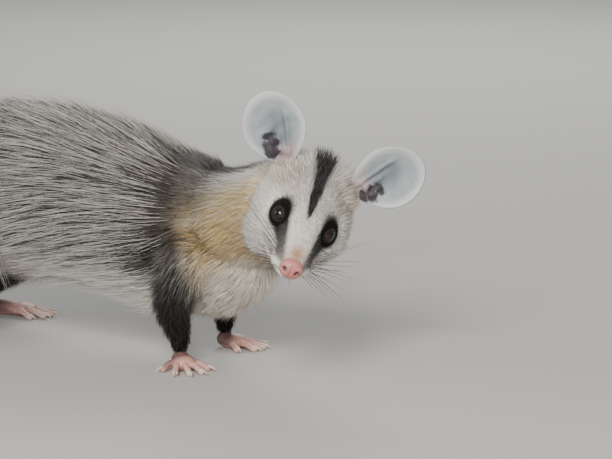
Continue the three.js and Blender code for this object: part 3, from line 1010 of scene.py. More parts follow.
@dataclass(frozen=True)
class EarFinish:
    """Thin pale ear skin with dark blotches, a pink root and painted shade in its hollow and folds."""

    def build(self) -> Material:
        """Builds the material.

        Returns:
            The material.
        """
        shader = Shader("ear_skin")
        blotch, pink, edge, hollow = shader.marks("ear_marks_and_shade")
        speckle = shader.add("MapRange", {0: shader.grain(1.5, 3.0), 1: 0.52, 2: 0.7, 3: 0.0, 4: 0.22})
        # The blotches' outlines are broken up by noise, which can't make blotches of its own
        ragged = shader.add("Math", {0: shader.grain(3.0, 4.0), 1: 1.3, 2: -0.65}, operation="MULTIPLY_ADD")
        spotted = shader.add("Math", {0: blotch, 1: ragged}, operation="ADD")
        spots = shader.add("MapRange", {0: spotted, 1: 0.16, 2: 0.56, 3: 0.0, 4: 0.94})
        near = shader.add("Math", {0: blotch, 1: 0.04}, operation="GREATER_THAN")
        colour = shader.layers(
            "#7f898e",
            (shader.grain(11.0, 3.0), "#a6adaf"),
            (speckle, "#c4c9c8"),
            # The hollow weight lays painted shade, grey-blue, in the ear's cup and along its folds
            (hollow, "#687278"),
            (edge, "#c0c5c4"),
            (pink, "#b9979a"),
            (shader.add("Math", {0: spots, 1: near}, operation="MULTIPLY"), "#2a242b"),
        )
        height = shader.layers(shader.grain(2.2, 5.0), (0.5, shader.cells(5.882)))
        return shader.finish(colour, 0.55, (height, 0.3, 0.6), Specular_IOR_Level=0.3)


@dataclass(frozen=True)
class SkinFinish:
    """Bare skin with a fine grain, darkened where the mesh says so.

    Attributes:
        name: Name of the material.
        pale: Main colour.
        flush: Second colour, in broad patches.
        dark: Colour where the attribute called bare has red.
        grain: Size of its grain in millimetres.
        roughness: How dull it is.
        wet: Weight of a moist coat.
    """

    name: str
    pale: str
    flush: str
    dark: str
    grain: float = 0.7
    roughness: float = 0.5
    wet: float = 0.0

    def build(self) -> Material:
        """Builds the material.

        Returns:
            The material.
        """
        shader = Shader(self.name)
        dark, pale, _, _ = shader.marks("bare")
        patches = shader.grain(4.0, 4.0)
        colour = shader.layers(self.pale, (patches, self.flush), (dark, self.dark), (pale, "#e2d5cb"))
        return shader.finish(
            colour,
            self.roughness,
            (shader.cells(self.grain), self.grain * 0.22, 0.7),
            Coat_Weight=self.wet,
            Coat_Roughness=0.22,
            Subsurface_Weight=0.15,
            Subsurface_Radius=(0.003, 0.0012, 0.0008),
            Subsurface_Scale=0.4,
        )


@dataclass(frozen=True)
class TailFinish:
    """Scaly tail skin, black near the body and pale towards the tip."""

    def build(self) -> Material:
        """Builds the material.

        Returns:
            The material.
        """
        shader = Shader("tail_skin")
        pale = shader.marks("bare")[1]
        ragged = shader.add("Math", {0: shader.grain(7.0, 5.0), 1: 0.9, 2: -0.45}, operation="MULTIPLY_ADD")
        share = shader.add("Math", {0: pale, 1: ragged}, operation="ADD", use_clamp=True)
        border = shader.add("MapRange", {0: share, 1: 0.35, 2: 0.62})
        colour = shader.layers("#1d191a", (border, "#c4aca0"))
        # The chart is drawn so that one unit of it is one scale
        size = dict.fromkeys(("Scale", "Brick Width", "Row Height"), 1.0)
        gap = {"Mortar Size": 0.055, "Mortar Smooth": 0.6}
        chart = shader.add("UVMap", uv_map="scales")
        gaps = shader.add("TexBrick", {"Vector": chart, **size, **gap}, "Fac", offset=0.5)
        colour = shader.layers(colour, (gaps, shader.layers(colour, (0.45, "#0c0a0a"))))
        scales = shader.add("Math", {0: 1.0, 1: gaps}, operation="SUBTRACT")
        return shader.finish(colour, 0.55, (scales, 0.25, 0.8))


@dataclass(frozen=True)
class EyeFinish:
    """A wet, almost black eye with a dim brown iris."""

    def build(self) -> Material:
        """Builds the material.

        Returns:
            The material.
        """
        shader = Shader("eye_gloss")
        colour = shader.layers("#060405", (shader.marks("bare")[0], "#24150f"))
        return shader.finish(
            colour, 0.25, IOR=1.38, Coat_Weight=0.6, Coat_Roughness=0.02, Specular_IOR_Level=0.3
        )


@dataclass(frozen=True)
class HornFinish:
    """Claws or whiskers of smooth horn.

    Attributes:
        name: Name of the material.
        colour: Its colour.
        roughness: How dull it is.
    """

    name: str
    colour: str
    roughness: float = 0.35

    def build(self) -> Material:
        """Builds the material.

        Returns:
            The material.
        """
        shader = Shader(self.name)
        streak = shader.grain(0.8, 3.0)
        tone = shader.layers(self.colour, (streak, "#8d7768"))
        return shader.finish(shader.layers(self.colour, (0.3, tone)), self.roughness, (streak, 0.04, 1.0))


@dataclass(frozen=True)
class FloorFinish:
    """Plain pale studio floor."""

    def build(self) -> Material:
        """Builds the material.

        Returns:
            The material.
        """
        shader = Shader("studio_floor")
        colour = shader.layers("#b7b6b3", (shader.grain(3.0, 3.0), "#bdbcb9"))
        return shader.finish(colour, 0.9, Specular_IOR_Level=0.1)


# Meshes


@dataclass
class Piece:
    """A finished mesh object that belongs to the animal.

    Attributes:
        name: Name of the object.
        layout: The animal's layout.
        object: The object, once it is built.
    """

    name: str
    layout: Layout
    object: bpy.types.Object | None = field(init=False, default=None)

    def from_bmesh(self, mesh: BMesh, material: Material) -> None:
        """Takes a mesh in layout millimetres.

        Args:
            mesh: The mesh, which is freed.
            material: Its material.
        """
        data = to_data(mesh, self.name)
        data.vertices.foreach_set("co", flat(self.layout.metres(read_points(data))))
        data.update()
        self._wrap(data, material)

    def from_arrays(self, points: Array, faces: Array, material: Material) -> None:
        """Takes arrays in layout millimetres.

        Args:
            points: Rows of vertices.
            faces: Rows of three corners.
            material: Its material.
        """
        data = bpy.data.meshes.new(self.name)
        data.vertices.add(len(points))
        data.vertices.foreach_set("co", flat(self.layout.metres(points)))
        data.loops.add(faces.size)
        data.loops.foreach_set("vertex_index", faces.astype(np.int32).ravel())
        data.polygons.add(len(faces))
        data.polygons.foreach_set("loop_start", np.arange(0, faces.size, 3, dtype=np.int32))
        data.update(calc_edges=True)
        self._wrap(data, material)

    def _wrap(self, data: bpy.types.Mesh, material: Material) -> None:
        """Makes the smooth-shaded object of a mesh.

        Args:
            data: The finished mesh.
            material: Its material.
        """
        data.polygons.foreach_set("use_smooth", np.ones(len(data.polygons), dtype=bool))
        data.materials.append(material)
        self.object = add_object(self.name, data)

    def layout_points(self) -> Array:
        """The piece's vertices in layout millimetres."""
        return (read_points(self.object.data) - self.layout.offset) / MM

    def paint(self, name: str, *values: Array | float) -> None:
        """Stores four numbers on each vertex.

        Args:
            name: Name of the attribute.
            values: Up to four numbers or columns. The fourth is 1 if it is left out, and the others 0.
        """
        rows = np.tile((0.0, 0.0, 0.0, 1.0), (len(self.object.data.vertices), 1))
        for column, value in enumerate(values):
            rows[:, column] = value
        layer = self.object.data.attributes.new(name, "FLOAT_COLOR", "POINT")
        layer.data.foreach_set("color", flat(rows))

    def chart(self, name: str, places: Array) -> None:
        """Stores a UV map.

        Args:
            name: Name of the map.
            places: One row of two for each corner of the faces.
        """
        self.object.data.uv_layers.new(name=name).data.foreach_set("uv", flat(places))

    def hand_over(self, slot: str, *nodes: str) -> None:
        """Fixes the piece to the animal and hides the CAD nodes that it replaces.

        Args:
            slot: Name of a material slot; not used.
            nodes: CAD nodes that it replaces.
        """
        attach(self.object, "root")
        if nodes:
            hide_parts(*nodes)
        LOG.info("%s: %d faces", self.name, len(self.object.data.polygons))


def flat(rows: Array) -> Array:
    """Rows as the single run of numbers that a mesh takes."""
    return rows.astype(np.float32).ravel()


def read(items: bpy.types.bpy_prop_collection, name: str, kind: type, width: int = 1) -> Array:
    """Reads one property of a mesh's vertices, corners or faces.

    Args:
        items: The vertices, corners or faces.
        name: Name of the property.
        kind: Kind of its numbers.
        width: How many numbers each has.

    Returns:
        One number each, or one row each if there are more.
    """
    values = np.zeros(len(items) * width, dtype=kind)
    items.foreach_get(name, values)
    return values.reshape(-1, width) if width > 1 else values


def read_points(data: bpy.types.Mesh) -> Array:
    """Vertices of a mesh, one in each row."""
    return read(data.vertices, "co", np.float32, 3).astype(float)


def to_data(mesh: BMesh, name: str) -> bpy.types.Mesh:
    """Turns a mesh's faces outwards and stores it.

    Args:
        mesh: The mesh, which is freed.
        name: Its name.

    Returns:
        The stored mesh.
    """
    data = bpy.data.meshes.new(name)
    bmesh.ops.recalc_face_normals(mesh, faces=mesh.faces)
    mesh.to_mesh(data)
    mesh.free()
    return data


def add_object(name: str, data: bpy.types.ID) -> bpy.types.Object:
    """Puts an object in the scene.

    Args:
        name: Its name.
        data: Its mesh, lamp or camera.

    Returns:
        The object.
    """
    made = bpy.data.objects.new(name, data)
    bpy.context.scene.collection.objects.link(made)
    return made


def ease(mesh: BMesh, vertices: Vertices) -> None:
    """Moves each vertex halfway to the middle of its neighbours.

    Args:
        mesh: The mesh.
        vertices: The vertices to move.
    """
    bmesh.ops.smooth_vert(mesh, verts=vertices, factor=0.5, use_axis_x=True, use_axis_y=True, use_axis_z=True)


def remeshed(mesh: BMesh, voxel: float, passes: int) -> BMesh:
    """Fuses overlapping closed forms into one even skin and eases it.

    Args:
        mesh: The forms, in layout millimetres. It is freed.
        voxel: Size of a face, in millimetres.
        passes: Times that the skin is eased.

    Returns:
        The new mesh.
    """
    data = to_data(mesh, "forms")
    holder = add_object("forms", data)
    fuse = holder.modifiers.new("fuse", "REMESH")
    fuse.mode = "VOXEL"
    fuse.voxel_size = voxel
    graph = bpy.context.evaluated_depsgraph_get()
    fused = bpy.data.meshes.new_from_object(holder.evaluated_get(graph), depsgraph=graph)
    result = bmesh.new()
    result.from_mesh(fused)
    bpy.data.objects.remove(holder)
    for spare in (data, fused):
        bpy.data.meshes.remove(spare)
    for _ in range(passes):
        ease(result, result.verts)
    return result


def add_tube(mesh: BMesh, path: Array, radii: Array, sides: int) -> None:
    """Adds a closed tapered tube along a path.

    Args:
        mesh: The mesh to add to.
        path: Points of its middle line.
        radii: Radius at each point.
        sides: Corners round it.
    """
    made, ball = add_sphere(mesh, sides, len(path) + 1)
    shares, angle = polar(ball)
    row = shares * (len(path) + 1) - 1
    last = len(path) - 1
    place = np.clip(row, 0, last)
    grid = np.arange(len(path))
    along_path = lambda values: np.column_stack([np.interp(place, grid, column) for column in values.T])
    middle, along = along_path(path), along_path(unit(np.gradient(path, axis=0)))
    side = unit(np.cross(along, np.array(ODD_WAY)))
    other = np.cross(along, side)
    radius = np.interp(place, grid, radii) * ((row > -0.5) & (row < last + 0.5))
    around = side * (radius * np.cos(angle))[:, None] + other * (radius * np.sin(angle))[:, None]
    set_points(made, middle + around)


# The skin


@dataclass
class Skin(Piece):
    """The one furred skin over the head, neck, trunk, legs and tail root.

    Attributes:
        voxel: Size of its faces, in millimetres.
        pad: Centre of the left whisker pad in head coordinates, and its radii.
        cheeks: Centres of the cheeks' muscles in head coordinates, and their radii.
        tail_root: Stations of the tail that the skin covers.
    """

    voxel: float = 1.38
    pad: Ball = ((30, 8, -15.6), (8.8, 5.2, 5.4))
    cheeks: tuple[Ball, ...] = (((-12, 12, -15), (16, 12, 11.5)), ((-12, -14, -18.5), (16, 14, 15)))
    tail_root: int = 6

    EASING = 5
    FACE_BACK = -9
    FACE_FRONT = 60
    FACE_SIDE = 40
    FACE_LOW = -45
    SOCKET_BACK = -8
    LIP_DEPTH = 1.5

    def build(self, material: Material) -> None:
        """Models the skin.

        Args:
            material: Its material.
        """
        mesh = bmesh.new()
        for loft, sides, rings in ((TORSO, 48, 48), (NECK, 40, 30), (SKULL, 40, 48), (JAW, 32, 24)):
            loft.add_to(mesh, sides, rings)
        for part in LEGS:
            PART_BODIES[part][0].add_to(mesh, 28, 28)
        Loft(TAIL.stations[: self.tail_root], TAIL.reference, (4, 3.5, 2.2)).add_to(mesh, 24, 20)
        (x, y, z), radii = self.pad
        for side in SIDES:
            add_head_ball(mesh, (x, side * y, z), radii)
        for centre, radii in self.cheeks:
            add_head_ball(mesh, centre, radii)
        mesh = remeshed(mesh, self.voxel, self.EASING)
        self._refine_face(mesh)
        set_points(mesh.verts, self._shape_face(points_of(mesh.verts)))
        self.from_bmesh(mesh, material)

    def _refine_face(self, mesh: BMesh) -> None:
        """Splits the faces from the eyes forward, where the lids, lips and pads are.

        Args:
            mesh: The skin.
        """
        x, y, z = HEAD.local(points_of(mesh.verts)).T
        inside = (x > self.FACE_BACK) & (x < self.FACE_FRONT)
        inside &= (np.abs(y) < self.FACE_SIDE) & (z > self.FACE_LOW)
        mesh.verts.ensure_lookup_table()
        edges = [edge for edge in mesh.edges if all(inside[vertex.index] for vertex in edge.verts)]
        bmesh.ops.subdivide_edges(mesh, edges=edges, cuts=1, use_grid_fill=True)
        ease(mesh, [vertex for vertex in mesh.verts if len(vertex.link_edges) != 4])

    def _shape_face(self, points: Array) -> Array:
        """Presses in the eye sockets and the line of the mouth.

        Args:
            points: Rows of layout coordinates.

        Returns:
            The moved rows.
        """
        local = HEAD.local(points)
        x, y, z = local.T
        groove = np.exp(-(((z - lip_height(x)) / 0.8) ** 2)) * smooth(-3, 3, x) * smooth(47, 42, x)
        inward = unit(np.column_stack([-0.5 * np.abs(y), -y, 0 * z]))
        for side in SIDES:
            local = self._shape_eye(local, Socket(side))
        return HEAD.place(local + inward * (self.LIP_DEPTH * groove)[:, None])

    def _shape_eye(self, local: Array, socket: Socket) -> Array:
        """Raises a low mound round one eye and sinks the skin behind the eyeball.

        Args:
            local: Rows of head coordinates.
            socket: The eye's place.

        Returns:
            The moved rows.
        """
        height, reach, rim = socket.measure(local)
        lid = np.sqrt(EYE_RADIUS**2 - rim**2) + 0.35
        raised = np.maximum((lid - height) * smooth(9.0, 0.2, reach - rim), 0)
        ball = np.sqrt(np.maximum(EYE_RADIUS**2 - reach**2, 0)) - 1.6
        inside = smooth(0.15, -0.45, reach - rim)
        move = ((1 - inside) * raised + inside * (ball - height)) * (height > self.SOCKET_BACK)
        return local + move[:, None] * socket.axes()[0]


def lip_height(x: Array) -> Array:
    """Height of the line of the mouth at places along the head."""
    return np.interp(x, *np.array(MOUTH)[::-1].T)


# The coat


@dataclass(frozen=True)
class Zone:
    """One kind of hair on some parts.

    Attributes:
        name: Name of its pieces.
        parts: The parts it grows on.
        count: How many tufts.
        length: Shortest and longest, in millimetres.
        width: Thickness of a tuft, in millimetres.
        lift: Angle off the skin at the root and at the tip, in degrees.
        guard: Weight of the white guard colour.
        clump: Tufts to a clump.
        bends: Bends in a strand, 2 or 3.
        seed: Seed of its random numbers.
        span: Where it grows along the animal, from the tail forward, in millimetres.
    """

    name: str
    parts: tuple[Part, ...]
    count: int
    length: tuple[float, float]
    width: float
    lift: tuple[float, float]
    guard: float
    clump: int
    bends: int
    seed: int
    span: tuple[float, float] = (-1000.0, 1000.0)


@dataclass
class Tufts:
    """Tufts of one zone, a row for each.

    Attributes:
        roots: Where they leave the skin.
        normals: The skin's normals there.
        marks: Markings of each.
        chart: Place of each root on the unrolled skin.
        lines: Middle lines, by tuft, bend and coordinate.
        width: Thickness of each, in millimetres.
    """

    roots: Array
    normals: Array
    marks: Array
    chart: Array
    lines: Array | None = None
    width: Array | None = None


@dataclass
class Coat:
    """Builds tufts of hair over the skin, each a closed tapered strand that bends back along the body.

    Attributes:
        skin: The finished skin.
        material: The hair's material.
        limit: Most triangles in a piece.
        grizzle: How far the marking of a tuft may stray where two colours meet.
        flank: Distance from the middle plane past which the trunk's hair is bent in, in millimetres.
        flank_give: Share of its reach past there that it keeps.
        sunk: Depth of the roots in the skin, in millimetres.
    """

    skin: Skin
    material: Material
    limit: int = 190000
    grizzle: float = 0.9
    flank: float = 57.0
    flank_give: float = 0.3
    sunk: float = 0.8
    quick: float = 0.35

    # Places along the head, and factors on the length or number of its tufts
    HEAD_LENGTHS = ((-50, -28, -12, 0, 12, 24, 36, 44), (2.0, 1.5, 1.1, 0.64, 0.44, 0.35, 0.3, 0.24))
    HEAD_DENSITY = ((-45, -10, 10, 25, 42), (0.7, 1.0, 1.7, 2.6, 3.4))
    HAIRLINE = 45.0
    FADE = 15
    KNEE_HEIGHT = 45.0
    FOOT_LENGTH = 0.32
    PURE_GUARD = 0.8
    TAPERS = {2: (0.9, 0.75), 3: (0.85, 1.0, 0.62)}
    FLATNESS = 0.55
    CHART_MARGIN = 0.02
    CHART_SIZE = 0.95
    TUFT_CHART = 0.003

    def __post_init__(self) -> None:
        """Surveys the skin and colours it."""
        data = self.skin.object.data
        data.calc_loop_triangles()
        self.corners = read(data.loop_triangles, "vertices", np.int32, 3)
        self.points = self.skin.layout_points()
        self.normals = read(data.vertices, "normal", np.float32, 3).astype(float)
        self.survey = Survey.of(self.points)
        self.marks = Markings().of(self.survey)
        self.skin.paint("marks", *self.marks.T)

    def grow(self, zone: Zone) -> list[Piece]:
        """Grows one zone.

        Args:
            zone: The kind of hair.

        Returns:
            Its pieces.
        """
        random = np.random.default_rng(zone.seed)
        triangle = self.points[self.corners]
        sides = triangle[:, 1:] - triangle[:, :1]
        area = np.linalg.norm(np.cross(sides[:, 0], sides[:, 1]), axis=1) / 2
        edge = (0.55, 0.8) if zone.guard > self.PURE_GUARD else (0.25, 0.6)
        share = self.survey.weight(*zone.parts)[self.corners].mean(axis=1)
        chance = area * smooth(*edge, share) * self._density(triangle.mean(axis=1), zone)
        count = int(zone.count * (1.0))
        picked = self.corners[random.choice(len(chance), size=count, p=chance / chance.sum())]
        within = random.dirichlet((1, 1, 1), size=count)
        blend = lambda values: np.einsum("nk,nkd->nd", within, values[picked])
        marks, flow = blend(self.marks), blend(self.survey.flow)
        stray = self.grizzle * marks * (1 - marks) * random.normal(0, 1, (count, 1))
        roots = blend(self.points)
        tufts = Tufts(
            roots, unit(blend(self.normals)), np.clip(marks + stray, 0, 1), self._unwrap(roots, zone.parts)
        )
        length = self._lengths(roots, zone, random)
        tufts.lines = self._strands(tufts, self._lie(tufts, flow, zone), length, zone, random)
        tufts.width = zone.width * (0.75 + 0.5 * random.random(count))
        return self._pieces(zone, tufts, random)

    def _density(self, centres: Array, zone: Zone) -> Array:
        """Thins the hair where skin is bare.

        Args:
            centres: Points of the skin.
            zone: The kind of hair.

        Returns:
            Factor on the number of tufts.
        """
        local = HEAD.local(centres)
        x, z = local[:, 0], local[:, 2]
        factor = 1 - 0.9 * np.exp(-(((z - lip_height(x)) / 0.9) ** 2)) * (x > 0)
        factor *= x < self.HAIRLINE
        for side in SIDES:
            height, reach, rim = Socket(side).measure(local)
            factor *= 1 - (reach < rim + 0.5) * (height > -4)
        low, high = zone.span
        factor *= smooth(low - self.FADE, low + self.FADE, centres[:, 0])
        factor *= smooth(high + self.FADE, high - self.FADE, centres[:, 0])
        if zone.parts == (Part.HEAD,):
            factor *= np.interp(x, *self.HEAD_DENSITY)
        return factor

    def _lengths(self, roots: Array, zone: Zone, random: np.random.Generator) -> Array:
        """Length of each tuft, short on the face and feet.

        Args:
            roots: The roots.
            zone: The kind of hair.
            random: Source of chance.

        Returns:
            Millimetres for each tuft.
        """
        low, high = zone.length
        length = low + (high - low) * random.random(len(roots))
        if Part.HEAD in zone.parts:
            local = HEAD.local(roots)
            x, y, z = local.T
            factor = np.interp(x, *self.HEAD_LENGTHS)
            ruff = smooth(-2, -16, z) * smooth(12, -14, x) * smooth(8, 20, np.abs(y))
            length = length * (factor + 0.75 * ruff)
            for side in SIDES:
                gap = np.linalg.norm(local - Socket(side).centre(), axis=1)
                length *= 0.34 + 0.66 * smooth(6.5, 14, gap)
                length *= 1 + 0.15 * self._near_ear(roots, side)
        if set(zone.parts) & set(LEGS):
            length = length * np.clip(roots[:, 2] / self.KNEE_HEIGHT, self.FOOT_LENGTH, 1.0)
        return length

    def _near_ear(self, points: Array, side: int) -> Array:
        """How near points lie to the root of one ear.

        Args:
            points: Rows of layout coordinates.
            side: 1 for the animal's left and -1 for its right.

        Returns:
            1 at the root, falling to 0.
        """
        root = np.array(EAR_ROOT) * (1, side, 1)
        return smooth(17, 9, np.linalg.norm(HEAD.local(points) - root, axis=1))

    def _lie(self, tufts: Tufts, flow: Array, zone: Zone) -> Array:
        """The way each tuft lies along the skin.

        Args:
            tufts: The tufts.
            flow: The bodies' directions.
            zone: The kind of hair.

        Returns:
            Unit vectors along the skin.
        """
        way = unit(flow)
        normals = tufts.normals
        if Part.HEAD in zone.parts:
            local = HEAD.local(tufts.roots)
            x, y, z = local.T
            outwards = np.sign(y) * smooth(4, 20, np.abs(y)) * 0.35
            fan = np.column_stack([0 * x, outwards, -0.55 * smooth(4, -14, z)]) * smooth(34, 8, x)[:, None]
            for side in SIDES:
                away = local - Socket(side).centre()
                fan += unit(away) * (1.8 * smooth(14, 6, np.linalg.norm(away, axis=1)))[:, None]
                to_tip = unit(np.array([0.1, 0.69 * side, 0.72]))
                fan += to_tip * (2.5 * self._near_ear(tufts.roots, side))[:, None]
            way = way + fan @ HEAD.axes().T
        if set(zone.parts) & {Part.TORSO, Part.NECK}:
            way = way + np.array([0.0, 0.0, -0.38]) * (1 - np.abs(normals[:, 2]))[:, None]
        return unit(way - normals * np.sum(way * normals, axis=1, keepdims=True))

    def _strands(
        self, tufts: Tufts, way: Array, length: Array, zone: Zone, random: np.random.Generator
    ) -> Array:
        """Middle lines of the tufts.

        Args:
            tufts: The tufts.
            way: The ways they lie.
            length: Their lengths.
            zone: The kind of hair.
            random: Source of chance.

        Returns:
            Points by tuft, bend and coordinate.
        """
        count, normals = len(tufts.roots), tufts.normals
        way = unit(way + np.cross(normals, way) * random.normal(0, 0.10, count)[:, None])
        points = np.zeros((count, zone.bends + 1, 3))
        points[:, 0] = tufts.roots - normals * self.sunk
        spread = 1 + 0.25 * np.clip(random.normal(0, 1, count), -1.6, 1.6)
        if Part.HEAD in zone.parts:
            spread *= 1 + 1.4 * sum(self._near_ear(tufts.roots, side) for side in SIDES)
        step = (length / zone.bends)[:, None]
        root_lift, tip_lift = zone.lift
        for bend in range(zone.bends):
            share = (bend + 0.5) / zone.bends
            angle = (np.radians(root_lift + (tip_lift - root_lift) * share) * spread)[:, None]
            points[:, bend + 1] = points[:, bend] + step * (way * np.cos(angle) + normals * np.sin(angle))
        if Part.TORSO in zone.parts:
            reach = np.abs(points[..., 1])
            kept = self.flank_give + (1 - self.flank_give) * self.flank / np.maximum(reach, 1)
            points[..., 1] *= np.where(reach > self.flank, kept, 1)
        return self._gather(points, zone, random)

    def _gather(self, points: Array, zone: Zone, random: np.random.Generator) -> Array:
        """Draws the tips of neighbouring tufts together into clumps.

        Args:
            points: The points of each tuft, root first.
            zone: The part of the coat they belong to.
            random: The generator of the zone.

        Returns:
            The points with gathered tips.
        """
        count = len(points)
        leaders = random.choice(count, size=max(count // zone.clump, 1), replace=False)
        tree = kdtree.KDTree(len(leaders))
        for place, leader in enumerate(leaders):
            tree.insert(Vector(points[leader, 0]), place)
        tree.balance()
        nearest = np.array([tree.find(Vector(point))[1] for point in points[:, 0]])
        pull = 0.5 * random.random(count)[:, None, None]
        share = np.linspace(0, 1, points.shape[1])[None, :, None] ** 1.4
        return points + (points[leaders[nearest]] - points) * pull * share

    def _unwrap(self, roots: Array, parts: tuple[Part, ...]) -> Array:
        """Places on an unrolled skin: round the body across, along the body up, one strip for each part.

        Args:
            roots: The roots.
            parts: The parts that the zone grows on.

        Returns:
            Rows of u and v.
        """
        survey = Survey.of(roots)
        columns = np.array([part.column for part in parts])
        strip = np.argmax(survey.weights[:, columns], axis=1)
        chosen = (np.arange(len(roots)), columns[strip])
        turn = survey.angles[chosen] / (2 * math.pi) + 0.5
        u = (strip + self.CHART_MARGIN + self.CHART_SIZE * turn) / len(parts)
        return np.column_stack([u, self.CHART_MARGIN + self.CHART_SIZE * survey.shares[chosen]])

    def _pieces(self, zone: Zone, tufts: Tufts, random: np.random.Generator) -> list[Piece]:
        """Makes three-sided tapered strands of the middle lines.

        Args:
            zone: The kind of hair.
            tufts: The tufts.
            random: Source of chance.

        Returns:
            Pieces that stay under the limit of faces.
        """
        lines = tufts.lines
        count, rings = len(lines), zone.bends
        tangent = unit(lines[:, -1] - lines[:, 0])
        side = unit(np.cross(tangent, tufts.normals))
        other = np.cross(side, tangent)
        roll = random.random(count) * 2 * math.pi
        size = rings * 3 + 1
        body = np.zeros((count, size, 3))
        for ring, taper in enumerate(self.TAPERS[rings]):
            for corner in range(3):
                angle = roll + corner * 2 * math.pi / 3
                out = side * np.cos(angle)[:, None] + other * (self.FLATNESS * np.sin(angle))[:, None]
                body[:, ring * 3 + corner] = lines[:, ring] + out * (tufts.width * (taper / 2))[:, None]
        body[:, -1] = lines[:, -1]
        along = np.append(np.repeat(np.linspace(0, 0.85, rings), 3), 1.0)
        tone = random.random(count)
        guard = np.clip(zone.guard * (0.7 + 0.5 * random.random(count)), 0, 1)
        guard *= 1 - 0.75 * tufts.marks[:, 3]
        patch = np.column_stack([np.tile((0, 0.5, 1), rings + 1)[:size], along]) * self.TUFT_CHART
        pattern = self._pattern(rings)
        per_piece = self.limit // len(pattern)
        pieces = []
        for number, start in enumerate(range(0, count, per_piece)):
            rows = slice(start, min(start + per_piece, count))
            amount = rows.stop - rows.start
            faces = (pattern[None] + (np.arange(amount) * size)[:, None, None]).reshape(-1, 3)
            piece = Piece(f"coat_{zone.name}_{number + 1}", self.skin.layout)
            piece.from_arrays(body[rows].reshape(-1, 3), faces, self.material)
            piece.paint("marks", *np.repeat(tufts.marks[rows], size, axis=0).T)
            by_corner = (np.repeat(guard[rows], size), np.repeat(tone[rows], size), np.tile(along, amount))
            piece.paint("strand", *by_corner)
            places = (tufts.chart[rows, None, :] + patch[None]).reshape(-1, 2)
            piece.chart("OFBake", places[faces.ravel()])
            pieces.append(piece)
        return pieces

    def _pattern(self, rings: int) -> Array:
        """Faces of one strand.

        Args:
            rings: Rings of three corners below its tip.

        Returns:
            Rows of three corners.
        """
        turns = [(corner, (corner + 1) % 3) for corner in range(3)]
        faces = [(0, 2, 1)]
        for low in range(0, 3 * rings - 3, 3):
            for a, b in turns:
                faces += [(low + a, low + b, low + b + 3), (low + a, low + b + 3, low + a + 3)]
        last = 3 * rings - 3
        return np.array(faces + [(last + a, last + b, last + 3) for a, b in turns])


ZONES = (
    Zone("back_under", (Part.TORSO,), 27000, (18, 27), 0.56, (40, 3), 0.0, 12, 2, 3, (-1000, 88)),
    Zone("back_guard", (Part.TORSO,), 11800, (33, 47), 0.31, (30, 3), 0.85, 5, 3, 5, (-1000, 96)),
    Zone("chest", (Part.TORSO,), 13000, (12, 19), 0.36, (46, 8), 0.0, 12, 2, 6, (88, 1000)),
    Zone("neck", (Part.NECK,), 27000, (11, 18), 0.36, (44, 5), 0.0, 14, 2, 7),
    Zone("neck_guard", (Part.NECK,), 1200, (18, 24), 0.24, (38, 8), 0.1, 6, 3, 8),
    Zone("head", (Part.HEAD,), 34000, (6.5, 10), 0.31, (36, 3), 0.0, 7, 2, 9),
    Zone("legs", LEGS, 19000, (9, 16), 0.46, (42, 8), 0.0, 9, 2, 11),
    Zone("thigh_guard", (Part.HIND_RIGHT, Part.HIND_LEFT), 1500, (22, 30), 0.36, (28, 4), 0.7, 6, 3, 13),
    Zone("tail_root", (Part.TAIL,), 5000, (10, 15), 0.46, (32, 4), 0.0, 9, 2, 15),
)


# The head's bare pieces


